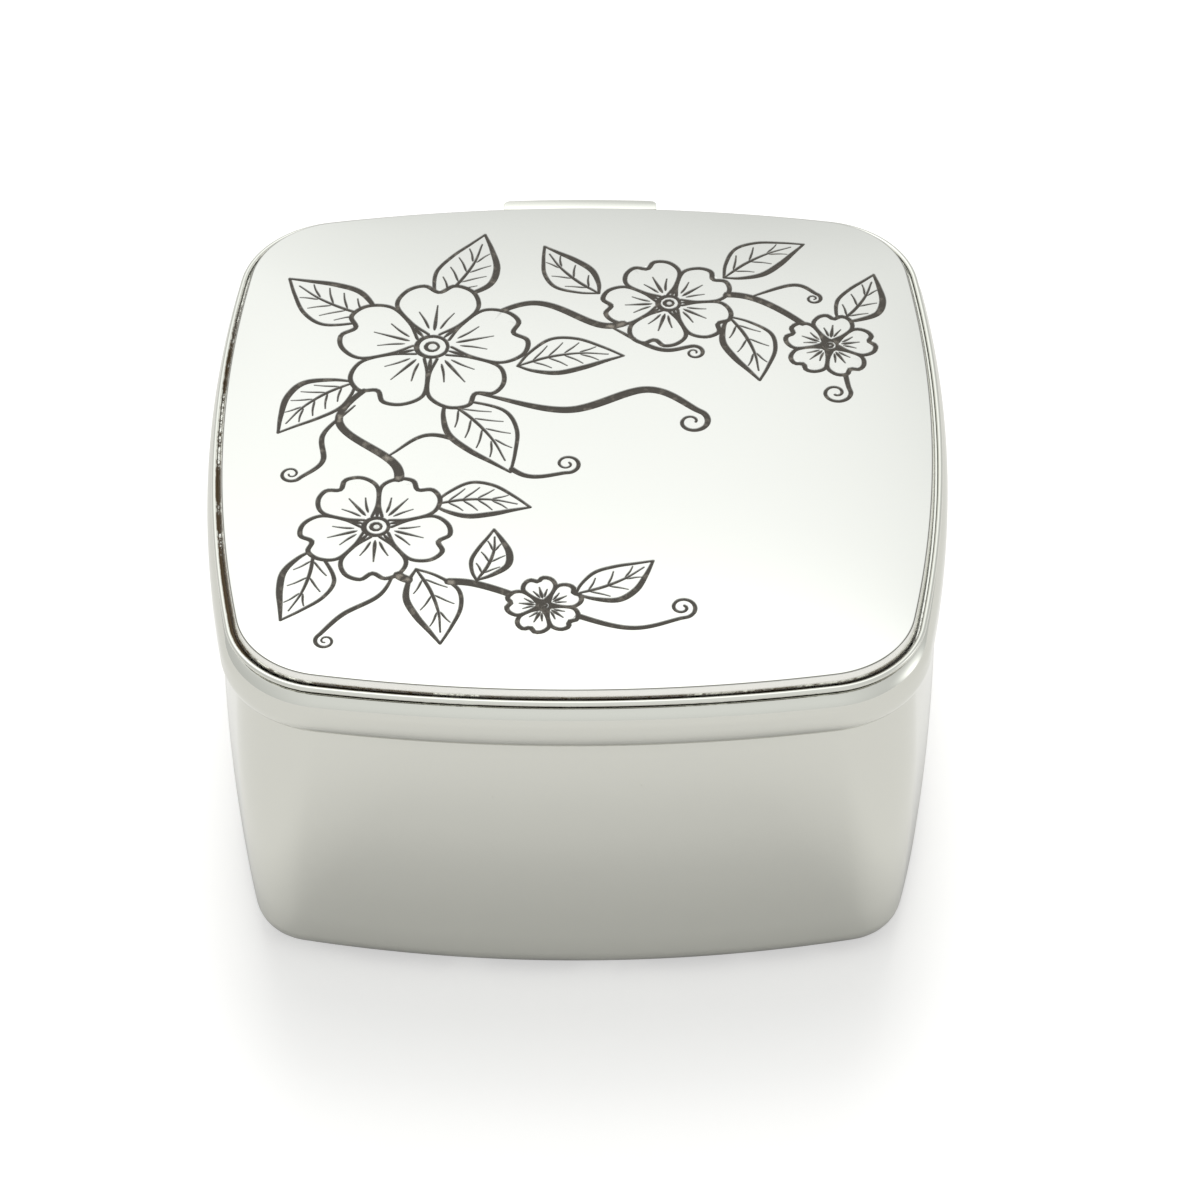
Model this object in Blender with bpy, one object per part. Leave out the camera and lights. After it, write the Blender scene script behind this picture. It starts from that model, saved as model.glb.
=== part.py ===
"""Keepsake box: a small polished metal box with a bowed square plan, a hinged lid and a velvet lining.

Metres, +Z up, front towards -Y. The origin is the middle of the felt underside, on the surface the box stands on.
The lid turns about lid_pivot, an empty on the hinge pin behind the rear wall.
"""
import math

import bmesh
import bpy
from mathutils import Matrix, Vector

MM = 0.001

# Plan, measured on the top edge of the lid plate: a square whose four sides are shallow arcs
PLATE_WIDTH = 70.0 * MM
LID_BOW = 3.4 * MM
LID_CORNER = 9.5 * MM
BASE_BOW = 3.6 * MM
BASE_CORNER = 6.0 * MM
LEAST_CORNER = 0.8 * MM
SIDE_STEPS = 8
CORNER_STEPS = 6

# Gap kept between pieces that touch, and the wider one between pieces that slide past each other
SEAT_GAP = 0.3 * MM
SLIDE_GAP = 0.4 * MM

# Body: one casting, given as offsets from the plate's edge and depths below the ledge round its mouth
FOOT_HEIGHT = 0.4 * MM
BODY_HEIGHT = 37.4 * MM
BASE_SET_IN = 0.4 * MM
BASE_ROUND = 3.0 * MM
WALL_SWELL = 0.6 * MM
CREASE_DEPTH = 5.5 * MM
CREASE_OFFSET = 0.1 * MM
BAND_DEPTH = 2.1 * MM
BAND_OFFSET = 1.5 * MM
SHOULDER_OFFSET = 0.6 * MM
MOUTH_SET_IN = 2.2 * MM
MOUTH_CHAMFER = 0.25 * MM
INNER_DRAFT = 0.6 * MM
FLOOR_THICKNESS = 1.1 * MM
FLOOR_FILLET = 0.8 * MM

# Felt underside, let into a shallow recess
FELT_SET_IN = 4.6 * MM
FELT_THICKNESS = 0.6 * MM

# Lid frame: a pan with a bead round its rim and a lip that drops into the mouth
BEAD_HEIGHT = 0.7 * MM
BEAD_WIDTH = 0.6 * MM
BEAD_FOOT_ROUND = 0.25 * MM
PAN_SEAT_HEIGHT = 0.25 * MM
PAN_THICKNESS = 0.8 * MM
LIP_THICKNESS = 0.9 * MM
LIP_DROP = 1.95 * MM
LIP_CHAMFER = 0.3 * MM

# Lid plate: the engraved plate that stands proud of the bead
PLATE_THICKNESS = 1.0 * MM
PLATE_DOME = 1.2 * MM
PLATE_EDGE_ROUND = 0.2 * MM
PLATE_FLARE = 0.1 * MM
DOME_RINGS = 5

# Hinge: a lid leaf with one knuckle between the two of the body leaf
HINGE_BACKSET = 1.0 * MM
KNUCKLE_RADIUS = 1.3 * MM
PIN_RADIUS = 0.5 * MM
PIN_DOME = 0.15 * MM
HINGE_WIDTH = 15.4 * MM
CENTRE_KNUCKLE = 7.4 * MM
TAB_OVERHANG = 1.2 * MM
TAB_THICKNESS = 0.7 * MM
TAB_CORNER = 0.35 * MM
TONGUE_REACH = 3.0 * MM
TONGUE_THICKNESS = 0.8 * MM
SILL_THICKNESS = 0.8 * MM
SILL_OVERHANG = 1.5 * MM
LEG_FRONT = 1.1 * MM
LEG_BACK = 0.9 * MM
NOTCH_OVERRUN = 5.0 * MM
KNUCKLE_SEGMENTS = 24
PIN_SEGMENTS = 16

# Lining: a velvet-faced strip round the walls, and two pads of velvet over card
LINING_THICKNESS = 1.2 * MM
LINING_BELOW_LIP = 0.6 * MM
CARD_THICKNESS = 0.8 * MM
LID_CARD_THICKNESS = 0.6 * MM
PAD_EDGE = 1.1 * MM
PAD_CROWN = 0.8 * MM
PAD_SIDE_BULGE = 0.35 * MM
LID_PAD_EDGE = 0.7 * MM
LID_PAD_CROWN = 0.5 * MM
CROWN_RINGS = 4

# Where those sizes put things
PLATE_HALF = PLATE_WIDTH / 2
LEDGE_Z = FOOT_HEIGHT + BODY_HEIGHT
CREASE_Z = LEDGE_Z - CREASE_DEPTH
BAND_Z = LEDGE_Z - BAND_DEPTH
RECESS_Z = FELT_THICKNESS + SEAT_GAP
FLOOR_Z = RECESS_Z + FLOOR_THICKNESS
RIM_Z = LEDGE_Z + SEAT_GAP
PAN_TOP_Z = RIM_Z + PAN_SEAT_HEIGHT
PLATE_UNDER_Z = PAN_TOP_Z + SEAT_GAP
PLATE_EDGE_Z = PLATE_UNDER_Z + PLATE_THICKNESS
BEAD_INNER = PLATE_FLARE + SEAT_GAP
BEAD_OUTER = BEAD_INNER + BEAD_WIDTH
LIP_OUTER = -MOUTH_SET_IN - SLIDE_GAP
LIP_INNER = LIP_OUTER - LIP_THICKNESS
LIP_Z = RIM_Z - LIP_DROP
BORE_RADIUS = PIN_RADIUS + SEAT_GAP
HINGE_Y = PLATE_HALF + HINGE_BACKSET
HINGE_Z = RIM_Z - SEAT_GAP - KNUCKLE_RADIUS
SILL_TOP_Z = HINGE_Z - KNUCKLE_RADIUS - SEAT_GAP
LINING_TOP_Z = LIP_Z - LINING_BELOW_LIP
FLOOR_CARD_TOP_Z = FLOOR_Z + SEAT_GAP + CARD_THICKNESS


def bowed_square(half, bow, corner):
    """Points round a square with bowed sides and rounded corners, anticlockwise from the front left."""
    side_radius = ((half - bow) ** 2 + bow ** 2) / (2 * bow)
    back = side_radius - half
    reach = side_radius - corner
    centre = (math.sqrt(2 * reach ** 2 - back ** 2) - back) / 2
    sweep = math.atan2(centre, centre + back)
    points = []
    for side in range(4):
        turn = Matrix.Rotation(side * math.pi / 2, 2)
        for step in range(SIDE_STEPS):
            angle = sweep * (2 * step / SIDE_STEPS - 1)
            points.append(turn @ Vector((side_radius * math.sin(angle), back - side_radius * math.cos(angle))))
        for step in range(CORNER_STEPS):
            angle = sweep + (math.pi / 2 - 2 * sweep) * step / CORNER_STEPS
            points.append(turn @ Vector((centre + corner * math.sin(angle), -centre - corner * math.cos(angle))))
    return points


def ring(offset, z, base_share=0.0):
    """One level of a lofted piece: the plate's plan moved out by offset, at height z.

    base_share runs from 0 for the lid's bow and corners to 1 for those of the base.
    """
    bow = LID_BOW + (BASE_BOW - LID_BOW) * base_share
    corner = LID_CORNER + (BASE_CORNER - LID_CORNER) * base_share + offset
    plan = bowed_square(PLATE_HALF + offset, bow, max(corner, LEAST_CORNER))
    return [Vector((point.x, point.y, z)) for point in plan]


def body_ring(offset, z):
    """A level of the body or its lining, whose corners tighten from the crease down to the base."""
    return ring(offset, z, (CREASE_Z - min(z, CREASE_Z)) / (CREASE_Z - FOOT_HEIGHT))


def arc(offset, z, radius, start, end, steps):
    """Profile points on an arc round (offset, z); degrees from straight out, turning up."""
    turns = [math.radians(start + (end - start) * step / steps) for step in range(steps + 1)]
    return [(offset + radius * math.cos(turn), z + radius * math.sin(turn)) for turn in turns]


def swell(start, widest, steps):
    """Profile points from start to widest, on the arc that runs straight up at its widest."""
    out = widest[0] - start[0]
    rise = abs(widest[1] - start[1])
    radius = (out ** 2 + rise ** 2) / (2 * out)
    full = math.asin(rise / radius)
    side = math.copysign(1, start[1] - widest[1])
    turns = [full * (1 - step / steps) for step in range(steps + 1)]
    return [(widest[0] - radius * (1 - math.cos(turn)), widest[1] + side * radius * math.sin(turn)) for turn in turns]


def inner_wall(z):
    """Offset of the body's inner wall, which leans in by its draft from the mouth to the floor."""
    return -MOUTH_SET_IN - INNER_DRAFT * (LEDGE_Z - z) / (LEDGE_Z - FLOOR_Z)


def material(name, colour, metallic, roughness):
    """A plain Principled material."""
    made = bpy.data.materials.new(name)
    made.use_nodes = True
    shader = made.node_tree.nodes["Principled BSDF"]
    shader.inputs["Base Color"].default_value = (*colour, 1)
    shader.inputs["Metallic"].default_value = metallic
    shader.inputs["Roughness"].default_value = roughness
    return made


def add_object(name, mesh, finish=None):
    """Put a mesh into the scene under a name."""
    piece = bpy.data.objects.new(name, mesh)
    bpy.context.scene.collection.objects.link(piece)
    if finish:
        mesh.materials.append(finish)
        mesh.shade_smooth()
        mesh.set_sharp_from_angle(angle=math.radians(32))
    return piece


def loft(name, rings, finish, tip=None, hollow=False):
    """Skin rings from the middle of the underside, out, up and in again.

    The ends are capped flat, or the top one meets in the point tip; a hollow section closes on itself instead.
    """
    form = bmesh.new()
    loops = [[form.verts.new(point) for point in level] for level in rings]
    spans = list(zip(loops, loops[1:]))
    if hollow:
        spans.append((loops[-1], loops[0]))
    for low, high in spans:
        for here in range(len(low)):
            after = (here + 1) % len(low)
            form.faces.new((low[here], low[after], high[after], high[here]))
    if not hollow:
        form.faces.new(reversed(loops[0]))
        if tip is None:
            form.faces.new(loops[-1])
        else:
            point = form.verts.new(tip)
            for here in range(len(loops[-1])):
                form.faces.new((loops[-1][here], loops[-1][(here + 1) % len(loops[-1])], point))
    mesh = bpy.data.meshes.new(name)
    form.to_mesh(mesh)
    form.free()
    return add_object(name, mesh, finish)


def extrude(name, section, left, right, finish=None):
    """Extrude a section of (y, z) points, anticlockwise seen from +X, between two x positions."""
    form = bmesh.new()
    start = [form.verts.new((left, y, z)) for y, z in section]
    end = [form.verts.new((right, y, z)) for y, z in section]
    form.faces.new(reversed(start))
    form.faces.new(end)
    for here in range(len(section)):
        after = (here + 1) % len(section)
        form.faces.new((start[here], start[after], end[after], end[here]))
    mesh = bpy.data.meshes.new(name)
    form.to_mesh(mesh)
    form.free()
    return add_object(name, mesh, finish)


def box(name, low, high):
    """A plain box between two corners."""
    section = [(low[1], low[2]), (high[1], low[2]), (high[1], high[2]), (low[1], high[2])]
    return extrude(name, section, low[0], high[0])


def combine(piece, tool, operation):
    """Cut a tool from a piece or join it on, and keep the tool as a hidden guide."""
    modifier = piece.modifiers.new(tool.name, "BOOLEAN")
    modifier.operation = operation
    modifier.object = tool
    tool.hide_render = True
    tool.display_type = "WIRE"


def make_body(finish):
    """The body: a casting with a bowed wall, a crease, a rounded band and a flat ledge round its mouth."""
    recess = -FELT_SET_IN + SEAT_GAP
    wall_foot = (-BASE_SET_IN, FOOT_HEIGHT + BASE_ROUND)
    crease = (CREASE_OFFSET, CREASE_Z)
    band = (BAND_OFFSET, BAND_Z)
    profile = [(recess, RECESS_Z), (recess, FOOT_HEIGHT)]
    profile += arc(wall_foot[0] - BASE_ROUND, wall_foot[1], BASE_ROUND, -90, 0, 6)
    wall_steps = 5
    for step in range(1, wall_steps):
        share = step / wall_steps
        lean = wall_foot[0] + (crease[0] - wall_foot[0]) * share
        bulge = WALL_SWELL * 4 * share * (1 - share)
        profile.append((lean + bulge, wall_foot[1] + (crease[1] - wall_foot[1]) * share))
    profile += swell(crease, band, 5)
    profile += reversed(swell((SHOULDER_OFFSET, LEDGE_Z), band, 4)[:-1])
    profile.append((-MOUTH_SET_IN + MOUTH_CHAMFER, LEDGE_Z))
    profile.append((inner_wall(LEDGE_Z - MOUTH_CHAMFER), LEDGE_Z - MOUTH_CHAMFER))
    fillet_z = FLOOR_Z + FLOOR_FILLET
    profile += arc(inner_wall(fillet_z) - FLOOR_FILLET, fillet_z, FLOOR_FILLET, 0, -90, 3)
    body = loft("body_shell", [body_ring(offset, z) for offset, z in profile], finish)

    pocket_front = HINGE_Y - KNUCKLE_RADIUS - SEAT_GAP
    pocket_floor = SILL_TOP_Z - SILL_THICKNESS - SEAT_GAP
    over = LEDGE_Z + NOTCH_OVERRUN
    side = HINGE_WIDTH / 2 + SEAT_GAP
    knuckles = box("hinge_pocket", (-side, pocket_front, pocket_floor), (side, HINGE_Y + NOTCH_OVERRUN, over))
    slot = CENTRE_KNUCKLE / 2 + SEAT_GAP
    slot_front = PLATE_HALF - MOUTH_SET_IN - TONGUE_REACH
    slot_floor = LEDGE_Z - TONGUE_THICKNESS - SEAT_GAP
    tongue = box("tongue_slot", (-slot, slot_front, slot_floor), (slot, HINGE_Y, over))
    combine(body, knuckles, "DIFFERENCE")
    combine(body, tongue, "DIFFERENCE")
    return body


def make_felt(finish):
    """The felt sheet under the base, a little proud of the metal."""
    levels = [body_ring(-FELT_SET_IN, z) for z in (0, FELT_THICKNESS)]
    return loft("base_felt", levels, finish)


def make_lid_frame(finish):
    """The lid's pan, from its underside over the lip and the bead to the seat of the plate."""
    half = BEAD_WIDTH / 2
    crown_z = RIM_Z + BEAD_HEIGHT - half
    profile = [(LIP_INNER, PAN_TOP_Z - PAN_THICKNESS), (LIP_INNER, LIP_Z), (LIP_OUTER - LIP_CHAMFER, LIP_Z)]
    profile += [(LIP_OUTER, LIP_Z + LIP_CHAMFER), (LIP_OUTER, RIM_Z)]
    profile += arc(BEAD_OUTER - BEAD_FOOT_ROUND, RIM_Z + BEAD_FOOT_ROUND, BEAD_FOOT_ROUND, -90, 0, 3)
    profile += arc(BEAD_OUTER - half, crown_z, half, 0, 180, 8)
    profile.append((BEAD_INNER, PAN_TOP_Z))
    return loft("lid_frame", [ring(offset, z) for offset, z in profile], finish)


def make_lid_plate(finish):
    """The domed plate, with a fine rounded edge."""
    profile = [(PLATE_FLARE, PLATE_UNDER_Z)]
    profile += arc(-PLATE_EDGE_ROUND, PLATE_EDGE_Z - PLATE_EDGE_ROUND, PLATE_EDGE_ROUND, 0, 90, 3)
    levels = [ring(offset, z) for offset, z in profile]
    edge = levels[-1]
    for step in range(1, DOME_RINGS):
        share = 1 - step / DOME_RINGS
        lift = Vector((0, 0, PLATE_DOME * (1 - share ** 2)))
        levels.append([Vector((point.x * share, point.y * share, point.z)) + lift for point in edge])
    return loft("lid_plate", levels, finish, tip=(0, 0, PLATE_EDGE_Z + PLATE_DOME))


def knuckle_arc(start, end, radius=KNUCKLE_RADIUS):
    """Points round the pin's axis; degrees from straight back (+Y), turning up."""
    steps = max(1, round(abs(end - start) / 360 * KNUCKLE_SEGMENTS))
    turns = [math.radians(start + (end - start) * step / steps) for step in range(steps + 1)]
    return [(HINGE_Y + radius * math.cos(turn), HINGE_Z + radius * math.sin(turn)) for turn in turns]


def bore_through(piece):
    """Cut the pin's bore along the hinge axis."""
    reach = HINGE_WIDTH / 2 + NOTCH_OVERRUN
    bore = extrude(piece.name + "_bore", knuckle_arc(0, 360, BORE_RADIUS)[:-1], -reach, reach)
    combine(piece, bore, "DIFFERENCE")


def rear_tab(name):
    """The tab behind the bead, whose back edge follows the bow of the lid."""
    half = HINGE_WIDTH / 2
    front = PLATE_HALF + BEAD_OUTER + SEAT_GAP
    back = HINGE_Y + TAB_OVERHANG
    side_radius = ((PLATE_HALF - LID_BOW) ** 2 + LID_BOW ** 2) / (2 * LID_BOW)
    bow_steps = 6
    outline = [(-half, front), (half, front)]
    flat = half - TAB_CORNER
    side_back = back - side_radius + math.sqrt(side_radius ** 2 - half ** 2) - TAB_CORNER
    for turn in (0, 30, 60):
        outline.append((flat + TAB_CORNER * math.cos(math.radians(turn)),
                        side_back + TAB_CORNER * math.sin(math.radians(turn))))
    for step in range(bow_steps + 1):
        x = flat * (1 - 2 * step / bow_steps)
        outline.append((x, back - side_radius + math.sqrt(side_radius ** 2 - x ** 2)))
    for turn in (120, 150, 180):
        outline.append((-flat + TAB_CORNER * math.cos(math.radians(turn)),
                        side_back + TAB_CORNER * math.sin(math.radians(turn))))
    form = bmesh.new()
    face = form.faces.new([form.verts.new((x, y, RIM_Z)) for x, y in outline])
    raised = bmesh.ops.extrude_face_region(form, geom=[face])["geom"]
    lifted = [item for item in raised if isinstance(item, bmesh.types.BMVert)]
    bmesh.ops.translate(form, vec=(0, 0, TAB_THICKNESS), verts=lifted)
    bmesh.ops.recalc_face_normals(form, faces=form.faces)
    mesh = bpy.data.meshes.new(name)
    form.to_mesh(mesh)
    form.free()
    return add_object(name, mesh)


def make_lid_leaf(finish):
    """The lid's leaf: a tongue under the lid frame, the centre knuckle, and the tab over all three knuckles."""
    tongue_z = LEDGE_Z - TONGUE_THICKNESS
    tongue_front = HINGE_Y - TONGUE_REACH
    neck_front = PLATE_HALF + BEAD_OUTER + SEAT_GAP
    neck_back = HINGE_Y + TAB_OVERHANG - TAB_CORNER
    under = math.degrees(math.asin((tongue_z - HINGE_Z) / KNUCKLE_RADIUS))
    behind = math.degrees(math.acos((neck_back - HINGE_Y) / KNUCKLE_RADIUS))
    section = [(tongue_front, tongue_z)]
    section += knuckle_arc(180 - under, 360 + behind)
    section += [(neck_back, RIM_Z + TAB_THICKNESS / 2), (neck_front, RIM_Z + TAB_THICKNESS / 2)]
    section += [(neck_front, LEDGE_Z), (tongue_front, LEDGE_Z)]
    half = CENTRE_KNUCKLE / 2
    leaf = extrude("hinge_lid_leaf", section, -half, half, finish)
    combine(leaf, rear_tab("hinge_tab"), "UNION")
    bore_through(leaf)
    return leaf


def make_body_leaf(finish):
    """The body's leaf: a sill let into the band, with a leg and a knuckle at each end.

    The sill's back edge stops the tab when the lid is open.
    """
    front = HINGE_Y - KNUCKLE_RADIUS
    half = HINGE_WIDTH / 2
    sill_z = SILL_TOP_Z - SILL_THICKNESS
    sill = [(front, sill_z), (HINGE_Y + SILL_OVERHANG, sill_z), (HINGE_Y + SILL_OVERHANG, SILL_TOP_Z)]
    leaf = extrude("hinge_body_leaf", sill + [(front, SILL_TOP_Z)], -half, half, finish)
    leg_front = math.degrees(math.acos(-LEG_FRONT / KNUCKLE_RADIUS))
    leg_back = math.degrees(math.acos(LEG_BACK / KNUCKLE_RADIUS))
    foot_z = SILL_TOP_Z - SILL_THICKNESS / 2
    leg = [(HINGE_Y - LEG_FRONT, foot_z), (HINGE_Y + LEG_BACK, foot_z)]
    leg += knuckle_arc(-leg_back, leg_front) + knuckle_arc(leg_front, 360 - leg_front)[1:]
    inner = CENTRE_KNUCKLE / 2 + SEAT_GAP
    combine(leaf, extrude("left_knuckle", leg, -half, -inner), "UNION")
    combine(leaf, extrude("right_knuckle", leg, inner, half), "UNION")
    bore_through(leaf)
    return leaf


def make_pin(finish):
    """The hinge pin, with slightly domed ends."""
    half = HINGE_WIDTH / 2
    stations = [(-half, PIN_RADIUS - PIN_DOME), (PIN_DOME - half, PIN_RADIUS)]
    stations += [(-x, radius) for x, radius in reversed(stations)]
    form = bmesh.new()
    loops = []
    for x, radius in stations:
        turns = [math.tau * step / PIN_SEGMENTS for step in range(PIN_SEGMENTS)]
        points = [(x, HINGE_Y + radius * math.cos(turn), HINGE_Z + radius * math.sin(turn)) for turn in turns]
        loops.append([form.verts.new(point) for point in points])
    for near, far in zip(loops, loops[1:]):
        for here in range(PIN_SEGMENTS):
            after = (here + 1) % PIN_SEGMENTS
            form.faces.new((near[here], near[after], far[after], far[here]))
    form.faces.new(reversed(loops[0]))
    form.faces.new(loops[-1])
    mesh = bpy.data.meshes.new("hinge_pin")
    form.to_mesh(mesh)
    form.free()
    return add_object("hinge_pin", mesh, finish)


def make_wall_lining(finish):
    """The velvet-faced strip inside the walls, with its top edge turned over."""
    low_z = FLOOR_CARD_TOP_Z + SEAT_GAP
    half = LINING_THICKNESS / 2
    turn_z = LINING_TOP_Z - half
    outer = [(inner_wall(z) - SEAT_GAP, z) for z in (low_z, turn_z)]
    middle = inner_wall(turn_z) - SEAT_GAP - half
    profile = outer + arc(middle, turn_z, half, 0, 180, 6)[1:]
    profile.append((outer[0][0] - LINING_THICKNESS, low_z))
    return loft("wall_lining", [body_ring(offset, z) for offset, z in profile], finish, hollow=True)


def make_pad(name, offset, flat_z, edge, crown, level, finish, faces_down=False):
    """A crowned velvet pad: flat on its card, its sides drawn in at both edges, its face swelling to the crown."""
    turns = [math.radians(turn) for turn in (-90, -45, 0, 45, 90)]
    rings = [level(offset - PAD_SIDE_BULGE * (1 - math.cos(turn)), flat_z + edge / 2 * (1 + math.sin(turn)))
             for turn in turns]
    edge_ring = rings[-1]
    for step in range(1, CROWN_RINGS):
        share = 1 - step / CROWN_RINGS
        lift = crown * (1 - share ** 2)
        rings.append([Vector((point.x * share, point.y * share, point.z + lift)) for point in edge_ring])
    pad = loft(name, rings, finish, tip=(0, 0, flat_z + edge + crown))
    if faces_down:
        flip = Matrix.Translation((0, 0, flat_z)) @ Matrix.Scale(-1, 4, (0, 0, 1)) @ Matrix.Translation((0, 0, -flat_z))
        pad.data.transform(flip)
        pad.data.flip_normals()
    return pad


def make_floor_padding(card_finish, velvet):
    """The card on the floor, which the wall lining stands on, and the velvet pad on it inside the lining."""
    card_edge = inner_wall(FLOOR_Z) - FLOOR_FILLET - SEAT_GAP
    levels = [body_ring(card_edge, z) for z in (FLOOR_CARD_TOP_Z - CARD_THICKNESS, FLOOR_CARD_TOP_Z)]
    card = loft("floor_card", levels, card_finish)
    pad_z = FLOOR_CARD_TOP_Z + SEAT_GAP
    pad_edge = inner_wall(pad_z) - SEAT_GAP - LINING_THICKNESS - SLIDE_GAP
    pad = make_pad("floor_pad", pad_edge, pad_z, PAD_EDGE, PAD_CROWN, body_ring, velvet)
    return card, pad


def make_lid_padding(card_finish, velvet):
    """The card in the lid's pan and the velvet pad that faces down from it."""
    edge = LIP_INNER - SLIDE_GAP
    card_z = PAN_TOP_Z - PAN_THICKNESS - SEAT_GAP
    card_low = card_z - LID_CARD_THICKNESS
    card = loft("lid_card", [ring(edge, z) for z in (card_low, card_z)], card_finish)
    pad = make_pad("lid_pad", edge, card_low - SEAT_GAP, LID_PAD_EDGE, LID_PAD_CROWN, ring, velvet, faces_down=True)
    return card, pad


def main():
    """Build the box, closed, with the lid's pieces under their pivot."""
    for thing in list(bpy.data.objects):
        bpy.data.objects.remove(thing)
    plated = material("polished_plating", (0.82, 0.82, 0.79), 1, 0.08)
    engraved = material("engraved_plating", (0.84, 0.84, 0.81), 1, 0.1)
    hinge_metal = material("hinge_plating", (0.8, 0.8, 0.78), 1, 0.16)
    steel = material("pin_steel", (0.55, 0.55, 0.54), 1, 0.3)
    velvet = material("lining_velvet", (0.03, 0.04, 0.12), 0, 0.9)
    grey_card = material("lining_card", (0.42, 0.39, 0.34), 0, 0.85)
    felt = material("base_felt", (0.02, 0.03, 0.08), 0, 0.95)

    make_body(plated)
    make_felt(felt)
    make_wall_lining(velvet)
    make_floor_padding(grey_card, velvet)
    make_body_leaf(hinge_metal)
    make_pin(steel)

    pivot = bpy.data.objects.new("lid_pivot", None)
    pivot.location = (0, HINGE_Y, HINGE_Z)
    bpy.context.scene.collection.objects.link(pivot)
    moving = [make_lid_frame(plated), make_lid_plate(engraved), *make_lid_padding(grey_card, velvet)]
    moving.append(make_lid_leaf(hinge_metal))
    guides = [modifier.object for piece in moving for modifier in piece.modifiers]
    for piece in moving + guides:
        piece.parent = pivot
        piece.location = -pivot.location


main()
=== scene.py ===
"""Keepsake box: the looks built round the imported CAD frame.

Metres, +Z up, front towards -Y. A small square box of polished plated metal, with an engraved plate on its
hinged lid and a velvet lining. Each sub-assembly is a class that holds its sizes, builds its meshes and
dresses them.
"""

import logging
import math
from dataclasses import dataclass, field
from enum import Enum

import bmesh
import bpy
import numpy as np
from mathutils import Matrix, Vector
from mathutils.geometry import delaunay_2d_cdt
from mathutils.kdtree import KDTree


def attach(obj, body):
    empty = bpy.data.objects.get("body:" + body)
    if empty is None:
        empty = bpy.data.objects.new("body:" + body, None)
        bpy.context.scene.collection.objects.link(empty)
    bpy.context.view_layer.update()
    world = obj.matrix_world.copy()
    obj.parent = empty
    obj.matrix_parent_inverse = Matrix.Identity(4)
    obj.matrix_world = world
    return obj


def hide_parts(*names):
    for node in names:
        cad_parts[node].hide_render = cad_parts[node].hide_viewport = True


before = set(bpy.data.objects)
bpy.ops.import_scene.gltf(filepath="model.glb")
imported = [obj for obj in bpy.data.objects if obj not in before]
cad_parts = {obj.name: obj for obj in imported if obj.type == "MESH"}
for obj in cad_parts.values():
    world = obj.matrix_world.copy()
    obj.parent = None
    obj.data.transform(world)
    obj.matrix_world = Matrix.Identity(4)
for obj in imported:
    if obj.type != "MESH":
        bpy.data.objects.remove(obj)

LOG = logging.getLogger("keepsake_box")
MM = 0.001
HALF_WIDTH = 35.0 * MM
SMOOTH_BELOW = math.radians(32)
WHITE = (1.0, 1.0, 1.0, 1.0)

Colour = tuple[float, float, float, float]
Material = bpy.types.Material
Mesh = bpy.types.Mesh
Node = bpy.types.Node
Piece = bpy.types.Object
Profile = list[tuple[float, float]]
Socket = bpy.types.NodeSocket
Tree = bpy.types.NodeTree


class Body(Enum):
    """The two bodies that the hinge joins."""

    BOX = "box"
    LID = "lid"


class Slot(Enum):
    """The material slots."""

    PLATING = "polished_plating"
    ENGRAVED = "engraved_plating"
    HINGE = "hinge_plating"
    PIN = "pin_steel"
    VELVET = "lining_velvet"
    CARD = "lining_card"
    FELT = "base_felt"


class Mark(Enum):
    """Mesh attributes that the plating reads: where old polish sits and where shade is painted, and where the
    fill is and has worn.
    """

    DIRT_AND_SHADE = "soil_and_shade"
    FILL = "fill"
    WORN = "worn"


def clamped(value: float) -> float:
    """A value held between 0 and 1."""
    return min(max(value, 0.0), 1.0)


def linear(hex_colour: str) -> Colour:
    """Turn an sRGB hex colour to the linear one that a shader takes.

    Args:
        hex_colour: six hex digits after a hash.

    Returns:
        Linear red, green, blue, and an alpha of 1.
    """
    parts = [int(hex_colour[start:start + 2], 16) / 255 for start in (1, 3, 5)]
    rgb = [part / 12.92 if part <= 0.04045 else ((part + 0.055) / 1.055) ** 2.4 for part in parts]
    return (*rgb, 1.0)


def add_node(tree: Tree, kind: str, settings: dict | None = None, inputs: dict | None = None) -> Node:
    """Add a node with its settings and links.

    Args:
        tree: the tree that gets the node.
        kind: the node's Blender type name.
        settings: properties to set on the node.
        inputs: a value or an output socket for each input, by name or number.

    Returns:
        The new node.
    """
    node = tree.nodes.new(kind)
    for name, value in (settings or {}).items():
        setattr(node, name, value)
    for name, value in (inputs or {}).items():
        socket = node.inputs[name]
        if isinstance(value, Socket):
            tree.links.new(value, socket)
        else:
            socket.default_value = value
    return node


def new_material(name: str) -> tuple[Material, Tree, Node]:
    """Start a node material.

    Args:
        name: the finish's plain name.

    Returns:
        The material, its tree and its output node.
    """
    material = bpy.data.materials.new(name)
    material.use_nodes = True
    tree = material.node_tree
    tree.nodes.clear()
    return material, tree, tree.nodes.new("ShaderNodeOutputMaterial")


def set_stops(ramp: Node, low: tuple[float, str], high: tuple[float, str]) -> None:
    """Set the two stops of a colour ramp, each of which is a place and a hex colour."""
    for element, (place, colour) in zip(ramp.color_ramp.elements, (low, high)):
        element.position = place
        element.color = linear(colour)


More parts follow.
